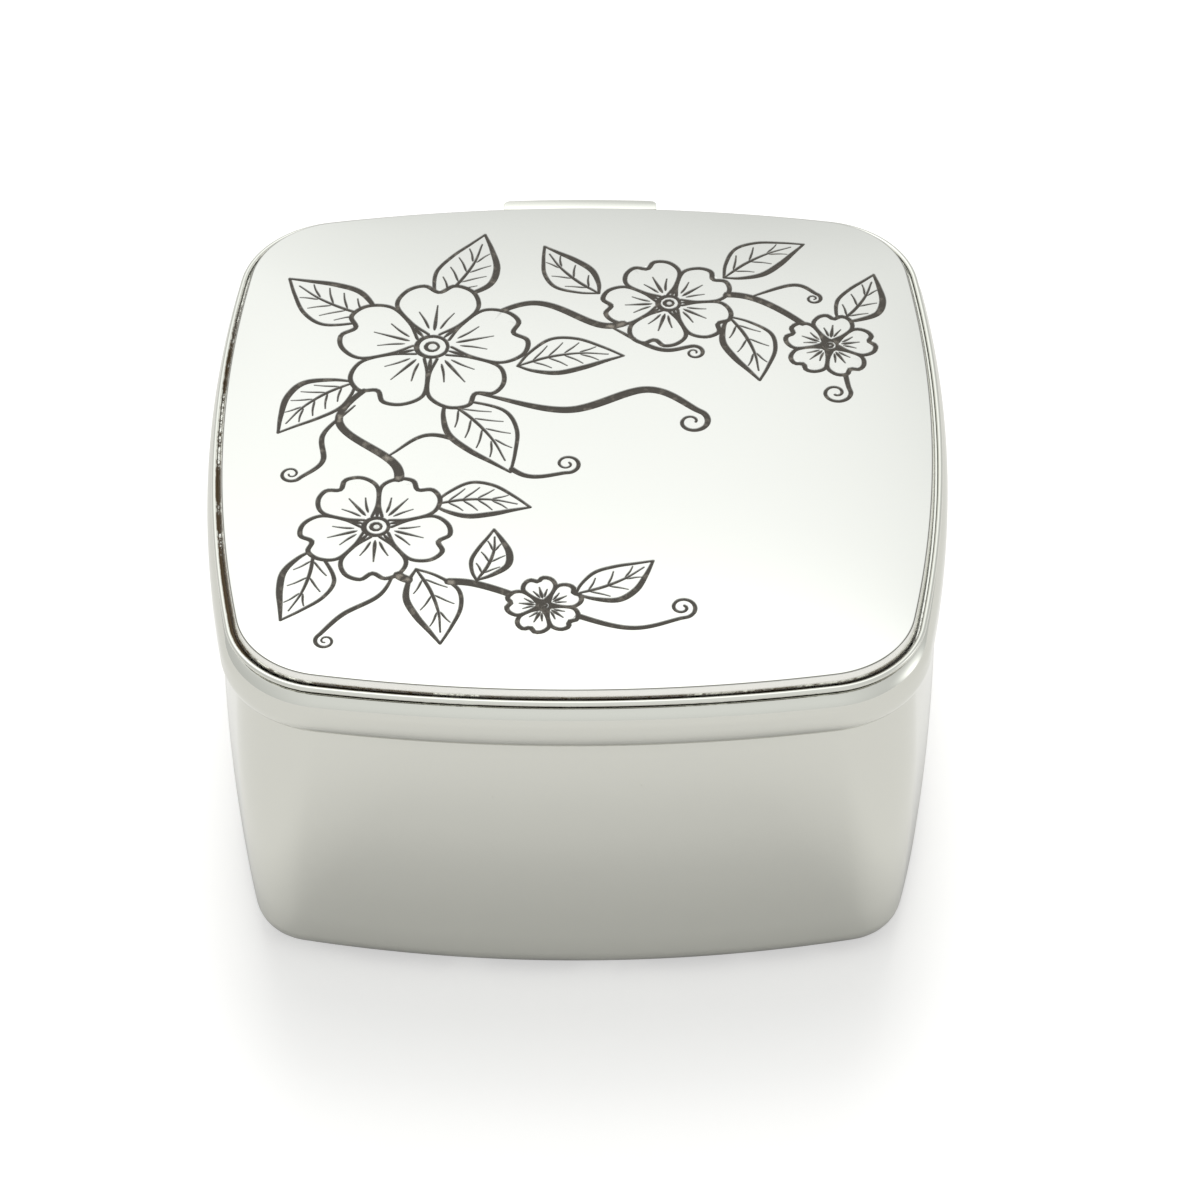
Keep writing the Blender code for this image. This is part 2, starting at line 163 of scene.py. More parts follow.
@dataclass(frozen=True)
class BrightPlating:
    """Nickel-silver plating on cast zinc, buffed to a mirror.

    The eye gets soft-edged reflections from the buffed casting's long slow waves, hairline wipe marks that
    only show against a dark reflection, pin-sized tarnish specks, and brown polish left in the tight corners.
    The same dark brown is also painted as shade in the seam under the lid's bead and along the body's foot.
    """

    name: str
    metal: str = "#D5D5CE"
    # Dark brown of old polish, which also paints shade in the seam and at the foot.
    soil_and_shade: str = "#4E3F29"
    fill_dark: str = "#37322B"
    fill_worn: str = "#8C857A"
    roughness: float = 0.07
    covered_roughness: float = 0.6
    wave_length: float = 9.0 * MM
    wave_depth: float = 0.010 * MM
    hair_spacing: float = 0.5 * MM
    hair_depth: float = 0.0006 * MM
    hair_squeeze: float = 0.05
    speck_spacing: float = 1.6 * MM
    speck_depth: float = 0.02 * MM
    speck_edge: tuple[float, float] = (0.035, 0.02)
    speck_least: float = 0.93
    speck_tone: float = 0.4
    speck_roughness: float = 0.25
    soil_and_shade_patch: float = 0.8 * MM
    soil_and_shade_stretch: float = 6.0 * MM
    soil_and_shade_between: tuple[float, float] = (0.43, 0.58)
    soil_and_shade_least: float = 0.1
    soil_and_shade_contrast: float = 5.0
    soil_and_shade_gain: float = 1.7
    fill_grain: float = 0.8 * MM
    fill_wear: float = 0.45

    def dirt_and_shade(self, tree: Tree, place: Socket) -> Socket:
        """Old polish, and painted shade in the seam and at the foot: where the mesh is marked, in stretches
        with ragged edges.
        """
        mark = add_node(tree, "ShaderNodeAttribute", {"attribute_name": Mark.DIRT_AND_SHADE.value}).outputs["Fac"]
        patch = add_node(tree, "ShaderNodeTexNoise", {},
                         {"Vector": place, "Scale": 1 / self.soil_and_shade_patch, "Detail": 6.0, "Roughness": 0.7})
        ragged = add_node(tree, "ShaderNodeMath", {"operation": "MULTIPLY_ADD"},
                          {0: patch.outputs["Fac"], 1: self.soil_and_shade_contrast, 2: -self.soil_and_shade_contrast / 2})
        stretch = add_node(tree, "ShaderNodeTexNoise", {},
                           {"Vector": place, "Scale": 1 / self.soil_and_shade_stretch, "Detail": 1.0})
        gathered = add_node(tree, "ShaderNodeMapRange", {},
                            {"Value": stretch.outputs["Fac"], "From Min": self.soil_and_shade_between[0],
                             "From Max": self.soil_and_shade_between[1], "To Min": self.soil_and_shade_least})
        reach = add_node(tree, "ShaderNodeMath", {"operation": "MULTIPLY"},
                         {0: mark, 1: gathered.outputs["Result"]})
        marked = add_node(tree, "ShaderNodeMath", {"operation": "MULTIPLY_ADD", "use_clamp": True},
                          {0: reach.outputs[0], 1: self.soil_and_shade_gain, 2: ragged.outputs[0]})
        held = add_node(tree, "ShaderNodeMath", {"operation": "MULTIPLY", "use_clamp": True},
                        {0: marked.outputs[0], 1: mark})
        dirt_and_shade = add_node(tree, "ShaderNodeMath", {"operation": "MULTIPLY", "use_clamp": True},
                        {0: held.outputs[0], 1: self.soil_and_shade_gain})
        return dirt_and_shade.outputs[0]

    def specks(self, tree: Tree, place: Socket) -> Socket:
        """Tarnish pits: the middles of a few cells of an even spread."""
        cells = add_node(tree, "ShaderNodeTexVoronoi", {"feature": "F1"},
                         {"Vector": place, "Scale": 1 / self.speck_spacing}).outputs
        dot = add_node(tree, "ShaderNodeMapRange", {},
                       {"Value": cells["Distance"], "From Min": self.speck_edge[0],
                        "From Max": self.speck_edge[1]})
        picked = add_node(tree, "ShaderNodeMath", {"operation": "GREATER_THAN"},
                          {0: cells["Color"], 1: self.speck_least})
        shown = add_node(tree, "ShaderNodeMath", {"operation": "MULTIPLY"},
                         {0: dot.outputs["Result"], 1: picked.outputs[0]})
        return shown.outputs[0]

    def fill(self, tree: Tree, place: Socket) -> Socket:
        """The engraver's dark fill, which is paler in the middle of wide cuts, where wiping wears it."""
        mark = add_node(tree, "ShaderNodeAttribute", {"attribute_name": Mark.WORN.value}).outputs["Fac"]
        grain = add_node(tree, "ShaderNodeTexNoise", {},
                         {"Vector": place, "Scale": 1 / self.fill_grain, "Detail": 4.0})
        wear = add_node(tree, "ShaderNodeMath", {"operation": "MULTIPLY_ADD"},
                        {0: mark, 1: self.fill_wear, 2: grain.outputs["Fac"]})
        tone = add_node(tree, "ShaderNodeValToRGB", {}, {"Fac": wear.outputs[0]})
        set_stops(tone, (0.55, self.fill_dark), (0.95, self.fill_worn))
        return tone.outputs["Color"]

    def relief(self, tree: Tree, place: Socket, specks: Socket) -> Socket:
        """The surface's relief: the casting's waves, the wipe marks on them, and the pits."""
        wave = add_node(tree, "ShaderNodeTexNoise", {},
                        {"Vector": place, "Scale": 1 / self.wave_length, "Detail": 1.0})
        along = add_node(tree, "ShaderNodeMapping", {},
                         {"Vector": place, "Scale": (self.hair_squeeze, 1.0, 1.0)})
        hair = add_node(tree, "ShaderNodeTexNoise", {},
                        {"Vector": along.outputs["Vector"], "Scale": 1 / self.hair_spacing, "Detail": 2.0})
        waved = add_node(tree, "ShaderNodeBump", {},
                         {"Strength": 1.0, "Distance": self.wave_depth, "Height": wave.outputs["Fac"]})
        wiped = add_node(tree, "ShaderNodeBump", {},
                         {"Strength": 1.0, "Distance": self.hair_depth, "Height": hair.outputs["Fac"],
                          "Normal": waved.outputs["Normal"]})
        pitted = add_node(tree, "ShaderNodeBump", {"invert": True},
                          {"Strength": 1.0, "Distance": self.speck_depth, "Height": specks,
                           "Normal": wiped.outputs["Normal"]})
        return pitted.outputs["Normal"]

    def make(self) -> Material:
        """Build the material.

        Returns:
            The plating, with old polish and painted shade where a mesh carries that mark, and dark fill where
            it has that.
        """
        material, tree, output = new_material(self.name)
        place = add_node(tree, "ShaderNodeTexCoord").outputs["Object"]
        filled = add_node(tree, "ShaderNodeAttribute", {"attribute_name": Mark.FILL.value}).outputs["Fac"]
        dirt_and_shade = self.dirt_and_shade(tree, place)
        specks = self.specks(tree, place)
        # Painted shade: the mark's dark brown also darkens the seam under the lid's bead and the body's foot.
        stained_and_shaded = add_node(tree, "ShaderNodeMath", {"operation": "MULTIPLY_ADD", "use_clamp": True},
                           {0: specks, 1: self.speck_tone, 2: dirt_and_shade})
        marked = add_node(tree, "ShaderNodeMix", {"data_type": "RGBA"},
                          {"Factor": stained_and_shaded.outputs[0], "A": linear(self.metal), "B": linear(self.soil_and_shade)})
        tone = add_node(tree, "ShaderNodeMix", {"data_type": "RGBA"},
                        {"Factor": filled, "A": marked.outputs["Result"], "B": self.fill(tree, place)})
        cover = add_node(tree, "ShaderNodeMath", {"operation": "MAXIMUM", "use_clamp": True},
                         {0: dirt_and_shade, 1: filled})
        bare = add_node(tree, "ShaderNodeMath", {"operation": "SUBTRACT", "use_clamp": True},
                        {0: 1.0, 1: cover.outputs[0]})
        dulled = add_node(tree, "ShaderNodeMapRange", {},
                          {"Value": cover.outputs[0], "To Min": self.roughness,
                           "To Max": self.covered_roughness})
        rough = add_node(tree, "ShaderNodeMath", {"operation": "MULTIPLY_ADD"},
                         {0: specks, 1: self.speck_roughness, 2: dulled.outputs["Result"]})
        shader = add_node(tree, "ShaderNodeBsdfPrincipled", {},
                          {"Base Color": tone.outputs["Result"], "Metallic": bare.outputs[0],
                           "Roughness": rough.outputs[0], "Normal": self.relief(tree, place, specks)})
        tree.links.new(shader.outputs["BSDF"], output.inputs["Surface"])
        return material


@dataclass(frozen=True)
class DrawnWire:
    """Steel wire drawn through a die: grey, with fine lines along its length."""

    name: str = "pin_drawn_steel"
    metal: str = "#A7A6A2"
    roughness: tuple[float, float] = (0.20, 0.40)
    line_spacing: float = 0.12 * MM
    line_depth: float = 0.004 * MM
    line_squeeze: float = 0.02

    def make(self) -> Material:
        """Build the material, with its drawing lines along the pin."""
        material, tree, output = new_material(self.name)
        place = add_node(tree, "ShaderNodeTexCoord").outputs["Object"]
        along = add_node(tree, "ShaderNodeMapping", {},
                         {"Vector": place, "Scale": (self.line_squeeze, 1.0, 1.0)})
        lines = add_node(tree, "ShaderNodeTexNoise", {},
                         {"Vector": along.outputs["Vector"], "Scale": 1 / self.line_spacing, "Detail": 3.0})
        rough = add_node(tree, "ShaderNodeMapRange", {},
                         {"Value": lines.outputs["Fac"], "To Min": self.roughness[0],
                          "To Max": self.roughness[1]})
        bump = add_node(tree, "ShaderNodeBump", {},
                        {"Strength": 1.0, "Distance": self.line_depth, "Height": lines.outputs["Fac"]})
        shader = add_node(tree, "ShaderNodeBsdfPrincipled", {},
                          {"Base Color": linear(self.metal), "Metallic": 1.0,
                           "Roughness": rough.outputs["Result"], "Normal": bump.outputs["Normal"]})
        tree.links.new(shader.outputs["BSDF"], output.inputs["Surface"])
        return material


@dataclass(frozen=True)
class NapCloth:
    """Woven cotton velvet or pressed wool felt: a dull pile whose tips catch the light.

    The eye gets a deep colour that pales at grazing angles, in soft patches where the nap lies another way.
    """

    name: str
    deep: str
    tip: str
    patch_size: float
    fibre_size: float
    bump_depth: float
    sheen: float
    sheen_tint: str
    fibre_share: float = 0.55

    def make(self) -> Material:
        """Build the cloth's material, with nap patches and fine fibres."""
        material, tree, output = new_material(self.name)
        place = add_node(tree, "ShaderNodeTexCoord").outputs["Object"]
        patches = add_node(tree, "ShaderNodeTexNoise", {},
                           {"Vector": place, "Scale": 1 / self.patch_size, "Detail": 3.0, "Distortion": 0.6})
        fibres = add_node(tree, "ShaderNodeTexNoise", {},
                          {"Vector": place, "Scale": 1 / self.fibre_size, "Detail": 4.0, "Roughness": 0.7})
        both = add_node(tree, "ShaderNodeMath", {"operation": "MULTIPLY_ADD"},
                        {0: fibres.outputs["Fac"], 1: self.fibre_share, 2: patches.outputs["Fac"]})
        tone = add_node(tree, "ShaderNodeValToRGB", {}, {"Fac": both.outputs[0]})
        set_stops(tone, (0.55, self.deep), (0.98, self.tip))
        bump = add_node(tree, "ShaderNodeBump", {},
                        {"Strength": 1.0, "Distance": self.bump_depth, "Height": fibres.outputs["Fac"]})
        shader = add_node(tree, "ShaderNodeBsdfPrincipled", {},
                          {"Base Color": tone.outputs["Color"], "Roughness": 0.95, "Specular IOR Level": 0.1,
                           "Sheen Weight": self.sheen, "Sheen Roughness": 0.35,
                           "Sheen Tint": linear(self.sheen_tint), "Normal": bump.outputs["Normal"]})
        tree.links.new(shader.outputs["BSDF"], output.inputs["Surface"])
        return material


@dataclass(frozen=True)
class Greyboard:
    """Recycled greyboard, pressed and cut: warm grey with flecks and a soft tooth."""

    name: str = "lining_greyboard"
    pulp: str = "#8E877B"
    fleck: str = "#6A645A"
    fleck_size: float = 0.35 * MM
    tooth_depth: float = 0.03 * MM

    def make(self) -> Material:
        """Build the board's material."""
        material, tree, output = new_material(self.name)
        place = add_node(tree, "ShaderNodeTexCoord").outputs["Object"]
        pulp = add_node(tree, "ShaderNodeTexNoise", {},
                        {"Vector": place, "Scale": 1 / self.fleck_size, "Detail": 6.0, "Roughness": 0.65})
        tone = add_node(tree, "ShaderNodeValToRGB", {}, {"Fac": pulp.outputs["Fac"]})
        set_stops(tone, (0.35, self.fleck), (0.6, self.pulp))
        bump = add_node(tree, "ShaderNodeBump", {},
                        {"Strength": 1.0, "Distance": self.tooth_depth, "Height": pulp.outputs["Fac"]})
        shader = add_node(tree, "ShaderNodeBsdfPrincipled", {},
                          {"Base Color": tone.outputs["Color"], "Roughness": 0.85,
                           "Normal": bump.outputs["Normal"]})
        tree.links.new(shader.outputs["BSDF"], output.inputs["Surface"])
        return material


def placed(name: str, data: bpy.types.ID) -> Piece:
    """Put a mesh, a curve, a lamp or a camera into the scene as an object at the origin."""
    thing = bpy.data.objects.new(name, data)
    bpy.context.scene.collection.objects.link(thing)
    return thing


def new_piece(name: str, mesh: Mesh, *materials: Material) -> Piece:
    """Put a mesh into the scene with its finishes.

    Args:
        name: the object's name.
        mesh: its mesh, in the frame's own places.
        materials: its finishes, in the order of its faces' numbers, if it gets them here.

    Returns:
        The object.
    """
    if materials:
        mesh.materials.clear()
    for material in materials:
        mesh.materials.append(material)
    return placed(name, mesh)


def smooth(mesh: Mesh, below: float = SMOOTH_BELOW) -> None:
    """Shade a mesh smooth, and leave edges sharper than an angle hard."""
    mesh.shade_smooth()
    mesh.set_sharp_from_angle(angle=below)


def settle(piece: Piece, body: Body, node: str) -> None:
    """Give a finished piece its body and the CAD node that it stands for.

    Args:
        piece: the finished object, which is still at the origin.
        body: the body that carries it.
        node: name of the CAD node that it replaces.
    """
    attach(piece, body.value)
    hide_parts(node)
    LOG.info("%s: %d faces on body %s", piece.name, len(piece.data.polygons), body.value)


def evaluated_copy(piece: Piece) -> Mesh:
    """Turn a piece with live modifiers into a plain mesh with their result."""
    bpy.context.view_layer.update()
    graph = bpy.context.evaluated_depsgraph_get()
    shown = piece.evaluated_get(graph)
    return bpy.data.meshes.new_from_object(shown, preserve_all_data_layers=True, depsgraph=graph)


def apply_modifiers(piece: Piece) -> None:
    """Replace a piece's mesh with its modifiers' result, and remove the modifiers."""
    mesh = evaluated_copy(piece)
    piece.modifiers.clear()
    piece.data = mesh


def arc(offset: float, z: float, radius: float, start: float, end: float, steps: int) -> Profile:
    """Profile points on an arc.

    Args:
        offset: how far out the arc's centre is.
        z: the centre's height.
        radius: the arc's radius.
        start: first angle in degrees from straight out, turning up.
        end: last angle.
        steps: number of chords.

    Returns:
        The points, as offset and height.
    """
    turns = [math.radians(start + (end - start) * step / steps) for step in range(steps + 1)]
    return [(offset + radius * math.cos(turn), z + radius * math.sin(turn)) for turn in turns]


def eased(before: tuple[float, float], corner: tuple[float, float], after: tuple[float, float], reach: float,
          steps: int = 6) -> Profile:
    """Profile points that round a corner between two straight runs.

    Args:
        before: a point on the run that comes in.
        corner: where the two runs meet.
        after: a point on the run that leaves.
        reach: how far from the corner the curve starts and ends.
        steps: number of chords.

    Returns:
        The points of the curve.
    """
    middle = Vector(corner)
    first = middle + (Vector(before) - middle).normalized() * reach
    last = middle + (Vector(after) - middle).normalized() * reach
    points = []
    for step in range(steps + 1):
        share = step / steps
        point = first * (1 - share) ** 2 + middle * 2 * share * (1 - share) + last * share ** 2
        points.append((point.x, point.y))
    return points


def is_within(point: Vector, outline: list[Vector]) -> bool:
    """Whether a point lies inside a closed outline."""
    inside = False
    for here, before in zip(outline, [outline[-1], *outline]):
        if (here.y > point.y) != (before.y > point.y):
            if point.x < (before.x - here.x) * (point.y - here.y) / (before.y - here.y) + here.x:
                inside = not inside
    return inside


@dataclass(frozen=True)
class BoxPlan:
    """The plan of every level: a square whose four sides are shallow arcs, with rounded corners."""

    half: float = HALF_WIDTH
    lid_bow: float = 3.4 * MM
    lid_corner: float = 9.5 * MM
    base_bow: float = 3.6 * MM
    base_corner: float = 6.0 * MM
    least_corner: float = 0.8 * MM
    foot_z: float = 0.4 * MM
    crease_z: float = 32.3 * MM
    side_steps: int = 40
    corner_steps: int = 22

    def outline(self, half: float, bow: float, corner: float) -> list[tuple[Vector, Vector]]:
        """Points round one bowed square, anticlockwise from the front left.

        Args:
            half: half the width across the middle of two sides.
            bow: how far each side bulges.
            corner: corner radius.

        Returns:
            Each point in plan, with the way that the outline faces there.
        """
        side_radius = ((half - bow) ** 2 + bow ** 2) / (2 * bow)
        back = side_radius - half
        reach = side_radius - corner
        centre = (math.sqrt(2 * reach ** 2 - back ** 2) - back) / 2
        sweep = math.atan2(centre, centre + back)
        points = []
        for side in range(4):
            turn = Matrix.Rotation(side * math.pi / 2, 2)
            for step in range(self.side_steps):
                angle = sweep * (2 * step / self.side_steps - 1)
                faces = Vector((math.sin(angle), -math.cos(angle)))
                points.append((turn @ (Vector((0, back)) + faces * side_radius), turn @ faces))
            for step in range(self.corner_steps):
                angle = sweep + (math.pi / 2 - 2 * sweep) * step / self.corner_steps
                faces = Vector((math.sin(angle), -math.cos(angle)))
                points.append((turn @ (Vector((centre, -centre)) + faces * corner), turn @ faces))
        return points

    def count(self) -> int:
        """How many points each ring has."""
        return 4 * (self.side_steps + self.corner_steps)

    def normals(self) -> list[Vector]:
        """The way that the lid's outline faces at each of its points."""
        return [faces for _, faces in self.outline(self.half, self.lid_bow, self.lid_corner)]

    def lid_ring(self, offset: float, z: float) -> list[Vector]:
        """One level of the lid: the plate's plan moved out by offset, at height z."""
        corner = max(self.lid_corner + offset, self.least_corner)
        plan = self.outline(self.half + offset, self.lid_bow, corner)
        return [Vector((point.x, point.y, z)) for point, _ in plan]

    def body_ring(self, offset: float, z: float) -> list[Vector]:
        """One level of the body, whose corners tighten from the crease down to the base."""
        share = (self.crease_z - min(z, self.crease_z)) / (self.crease_z - self.foot_z)
        bow = self.lid_bow + (self.base_bow - self.lid_bow) * share
        corner = self.lid_corner + (self.base_corner - self.lid_corner) * share + offset
        plan = self.outline(self.half + offset, bow, max(corner, self.least_corner))
        return [Vector((point.x, point.y, z)) for point, _ in plan]


def mesh_of(name: str, form: bmesh.types.BMesh) -> Mesh:
    """Turn a form to a mesh, and free it."""
    mesh = bpy.data.meshes.new(name)
    form.to_mesh(mesh)
    form.free()
    return mesh


def bridge(form: bmesh.types.BMesh, low: list[bmesh.types.BMVert], high: list[bmesh.types.BMVert]) -> None:
    """Join two loops of as many points by a band of quads."""
    for here in range(len(low)):
        after = (here + 1) % len(low)
        form.faces.new((low[here], low[after], high[after], high[here]))


def loft(name: str, rings: list[list[Vector]], hollow: bool = False, tip: Vector | None = None) -> Mesh:
    """Skin rings from the middle of the underside, out, up and in again.

    Args:
        name: the mesh's name.
        rings: the levels, with as many points each.
        hollow: whether the section closes on itself instead of being capped.
        tip: a point that the last ring closes on instead of a flat cap.

    Returns:
        The skinned mesh.
    """
    form = bmesh.new()
    loops = [[form.verts.new(point) for point in level] for level in rings]
    for low, high in zip(loops, loops[1:]):
        bridge(form, low, high)
    if hollow:
        bridge(form, loops[-1], loops[0])
    else:
        form.faces.new(reversed(loops[0]))
        if tip is None:
            form.faces.new(loops[-1])
    if tip is not None:
        point = form.verts.new(tip)
        for here, after in zip(loops[-1], loops[-1][1:] + loops[-1][:1]):
            form.faces.new((here, after, point))
    return mesh_of(name, form)


def block(name: str, low: tuple[float, float, float], high: tuple[float, float, float]) -> Piece:
    """A cutting block between its lowest and its highest corner."""
    form = bmesh.new()
    bmesh.ops.create_cube(form, size=1.0)
    for vert in form.verts:
        vert.co = Vector([low[axis] if vert.co[axis] < 0 else high[axis] for axis in range(3)])
    return new_piece(name, mesh_of(name, form))


def combine(piece: Piece, tools: list[Piece], operation: str = "DIFFERENCE") -> None:
    """Cut tools from a piece, or join them to it, and remove them.

    Args:
        piece: the object that is worked on.
        tools: the blocks.
        operation: DIFFERENCE or UNION.
    """
    for tool in tools:
        modifier = piece.modifiers.new(tool.name, "BOOLEAN")
        modifier.operation = operation
        modifier.solver = "EXACT"
        modifier.object = tool
    apply_modifiers(piece)
    for tool in tools:
        bpy.data.objects.remove(tool)


def set_mark(mesh: Mesh, mark: Mark, values: list[float]) -> None:
    """Store one number for each vertex under a mark's name."""
    attribute = mesh.attributes.new(mark.value, "FLOAT", "POINT")
    attribute.data.foreach_set("value", values)


def lid_dirt_and_shade_share(place: Vector) -> float:
    """How much old polish sits in the lid's crevice, and how dark the painted shade in the seam under the
    bead is: most along the front and the left, none at the back.
    """
    middle, to_front, to_left = 0.3, 0.9, 0.68
    return clamped(middle - (place.y * to_front + place.x * to_left) / HALF_WIDTH)


def tree_input(tree: Tree, name: str, kind: str) -> str:
    """Add a named input to a node group, and return the identifier by which a modifier sets it."""
    return tree.interface.new_socket(name=name, in_out="INPUT", socket_type=kind).identifier


def end_group(tree: Tree, shape: Socket, finish: Material, name: str) -> None:
    """End a node group: make its instances real, give them their finish and hand them out by a name."""
    tree.interface.new_socket(name=name, in_out="OUTPUT", socket_type="NodeSocketGeometry")
    real = add_node(tree, "GeometryNodeRealizeInstances", {}, {"Geometry": shape})
    dressed = add_node(tree, "GeometryNodeSetMaterial", {},
                       {"Geometry": real.outputs["Geometry"], "Material": finish})
    add_node(tree, "NodeGroupOutput", {}, {name: dressed.outputs["Geometry"]})


@dataclass
class BodyShell:
    """The cast body: bowed wall, crease, rounded band and flat ledge, with the hinge's notch at the rear."""

    plan: BoxPlan
    base_set_in: float = 0.4 * MM
    base_round: float = 3.0 * MM
    wall_swell: float = 0.6 * MM
    crease_offset: float = 0.1 * MM
    crease_ease: float = 0.12 * MM
    band_z: float = 35.7 * MM
    band_offset: float = 1.5 * MM
    lower_steps: int = 22
    upper_steps: int = 12
    lower_tuck: float = 3.6
    upper_tuck: float = 2.7
    shoulder_offset: float = 0.6 * MM
    shoulder_ease: float = 0.15 * MM
    ledge_z: float = 37.8 * MM
    # Painted shade: the ledge in the seam and the foot's rounding get the dark mark as shade.
    seam_painted_shade: float = 0.2
    foot_painted_shade_top: float = 1.7 * MM
    foot_painted_shade_depth: float = 0.8 * MM
    mouth_set_in: float = 2.2 * MM
    mouth_chamfer: float = 0.25 * MM
    inner_draft: float = 0.6 * MM
    floor_z: float = 2.0 * MM
    floor_fillet: float = 0.8 * MM
    recess_z: float = 0.9 * MM
    recess_edge: float = -4.3 * MM
    base_steps: int = 14
    wall_steps: int = 24
    fillet_steps: int = 8
    hinge_y: float = 36.0 * MM
    pocket_side: float = 8.0 * MM
    pocket_front: float = 34.4 * MM
    pocket_floor: float = 33.8 * MM
    slot_side: float = 4.0 * MM
    slot_front: float = 29.8 * MM
    slot_floor: float = 36.7 * MM
    overrun: float = 5.0 * MM
    least_step: float = 0.01 * MM

    def inner_wall(self, z: float) -> float:
        """Offset of the inner wall, which leans in by its draft from the mouth to the floor."""
        return -self.mouth_set_in - self.inner_draft * (self.ledge_z - z) / (self.ledge_z - self.floor_z)

    def tucked(self, edge: tuple[float, float], tuck: float, steps: int) -> Profile:
        """Half of the band: upright at its widest level, with a quick tuck into its edge.

        Args:
            edge: offset and height of the edge, which is the crease or the shoulder.
            tuck: how late the tuck comes.
            steps: number of chords, each longer than the easing of the edge.

        Returns:
            The points, from the edge to the widest level.
        """
        points = []
        for step in range(steps + 1):
            share = 1 - step / steps
            out = self.band_offset - (self.band_offset - edge[0]) * share ** tuck
            points.append((out, self.band_z + (edge[1] - self.band_z) * share))
        return points

    def profile(self) -> Profile:
        """Section of the casting from the middle of the underside, out, up and in to the floor."""
        foot = (-self.base_set_in, self.plan.foot_z + self.base_round)
        crease = (self.crease_offset, self.plan.crease_z)
        shoulder = (self.shoulder_offset, self.ledge_z)
        points = [(self.recess_edge, self.recess_z), (self.recess_edge, self.plan.foot_z)]
        points += arc(foot[0] - self.base_round, foot[1], self.base_round, -90, 0, self.base_steps)
        wall = []
        for step in range(1, self.wall_steps):
            share = step / self.wall_steps
            lean = foot[0] + (crease[0] - foot[0]) * share
            bulge = self.wall_swell * 4 * share * (1 - share)
            wall.append((lean + bulge, foot[1] + (crease[1] - foot[1]) * share))
        points += wall
        below = self.tucked(crease, self.lower_tuck, self.lower_steps)
        points += eased(wall[-1], crease, below[1], self.crease_ease)
        points += below[1:]
        above = self.tucked(shoulder, self.upper_tuck, self.upper_steps)
        points += reversed(above[1:-1])
        points += eased(above[1], shoulder, (-self.mouth_set_in, self.ledge_z), self.shoulder_ease)
        points.append((shoulder[0] - self.shoulder_ease - 5 * self.least_step, self.ledge_z))
        points.append((-self.mouth_set_in + self.mouth_chamfer, self.ledge_z))
        points.append((self.inner_wall(self.ledge_z - self.mouth_chamfer), self.ledge_z - self.mouth_chamfer))
        fillet_z = self.floor_z + self.floor_fillet
        points += arc(self.inner_wall(fillet_z) - self.floor_fillet, fillet_z, self.floor_fillet, 0, -90,
                      self.fillet_steps)
        return points

    def build(self, plating: Material) -> None:
        """Cast the body of bright plating, cut the hinge's notch and let it ride."""
        rings = [self.plan.body_ring(offset, z) for offset, z in self.profile()]
        shell = new_piece("body_casting", loft("body_casting", rings), plating)
        top = self.ledge_z + self.overrun
        combine(shell, [block("pocket", (-self.pocket_side, self.pocket_front, self.pocket_floor),
                              (self.pocket_side, self.hinge_y + self.overrun, top)),
                        block("slot", (-self.slot_side, self.slot_front, self.slot_floor),
                              (self.slot_side, self.hinge_y, top))])
        smooth(shell.data)
        flat_edge = self.shoulder_offset - self.shoulder_ease - 2 * self.least_step
        ledge = self.plan.body_ring(flat_edge, self.ledge_z)
        inside = self.plan.body_ring(0.0, self.ledge_z)
        # Painted shade: the seam's ledge under the lid's bead and the rounding at the foot are darkened as
        # shade.
        marks = []
        for vert in shell.data.vertices:
            level = abs(vert.co.z - self.ledge_z) < self.least_step
            in_seam = level and is_within(vert.co, ledge) and not is_within(vert.co, inside)
            foot_shade = clamped((self.foot_painted_shade_top - vert.co.z) / self.foot_painted_shade_depth)
            marks.append(self.seam_painted_shade if in_seam else foot_shade)
        set_mark(shell.data, Mark.DIRT_AND_SHADE, marks)
        settle(shell, Body.BOX, "body_shell")


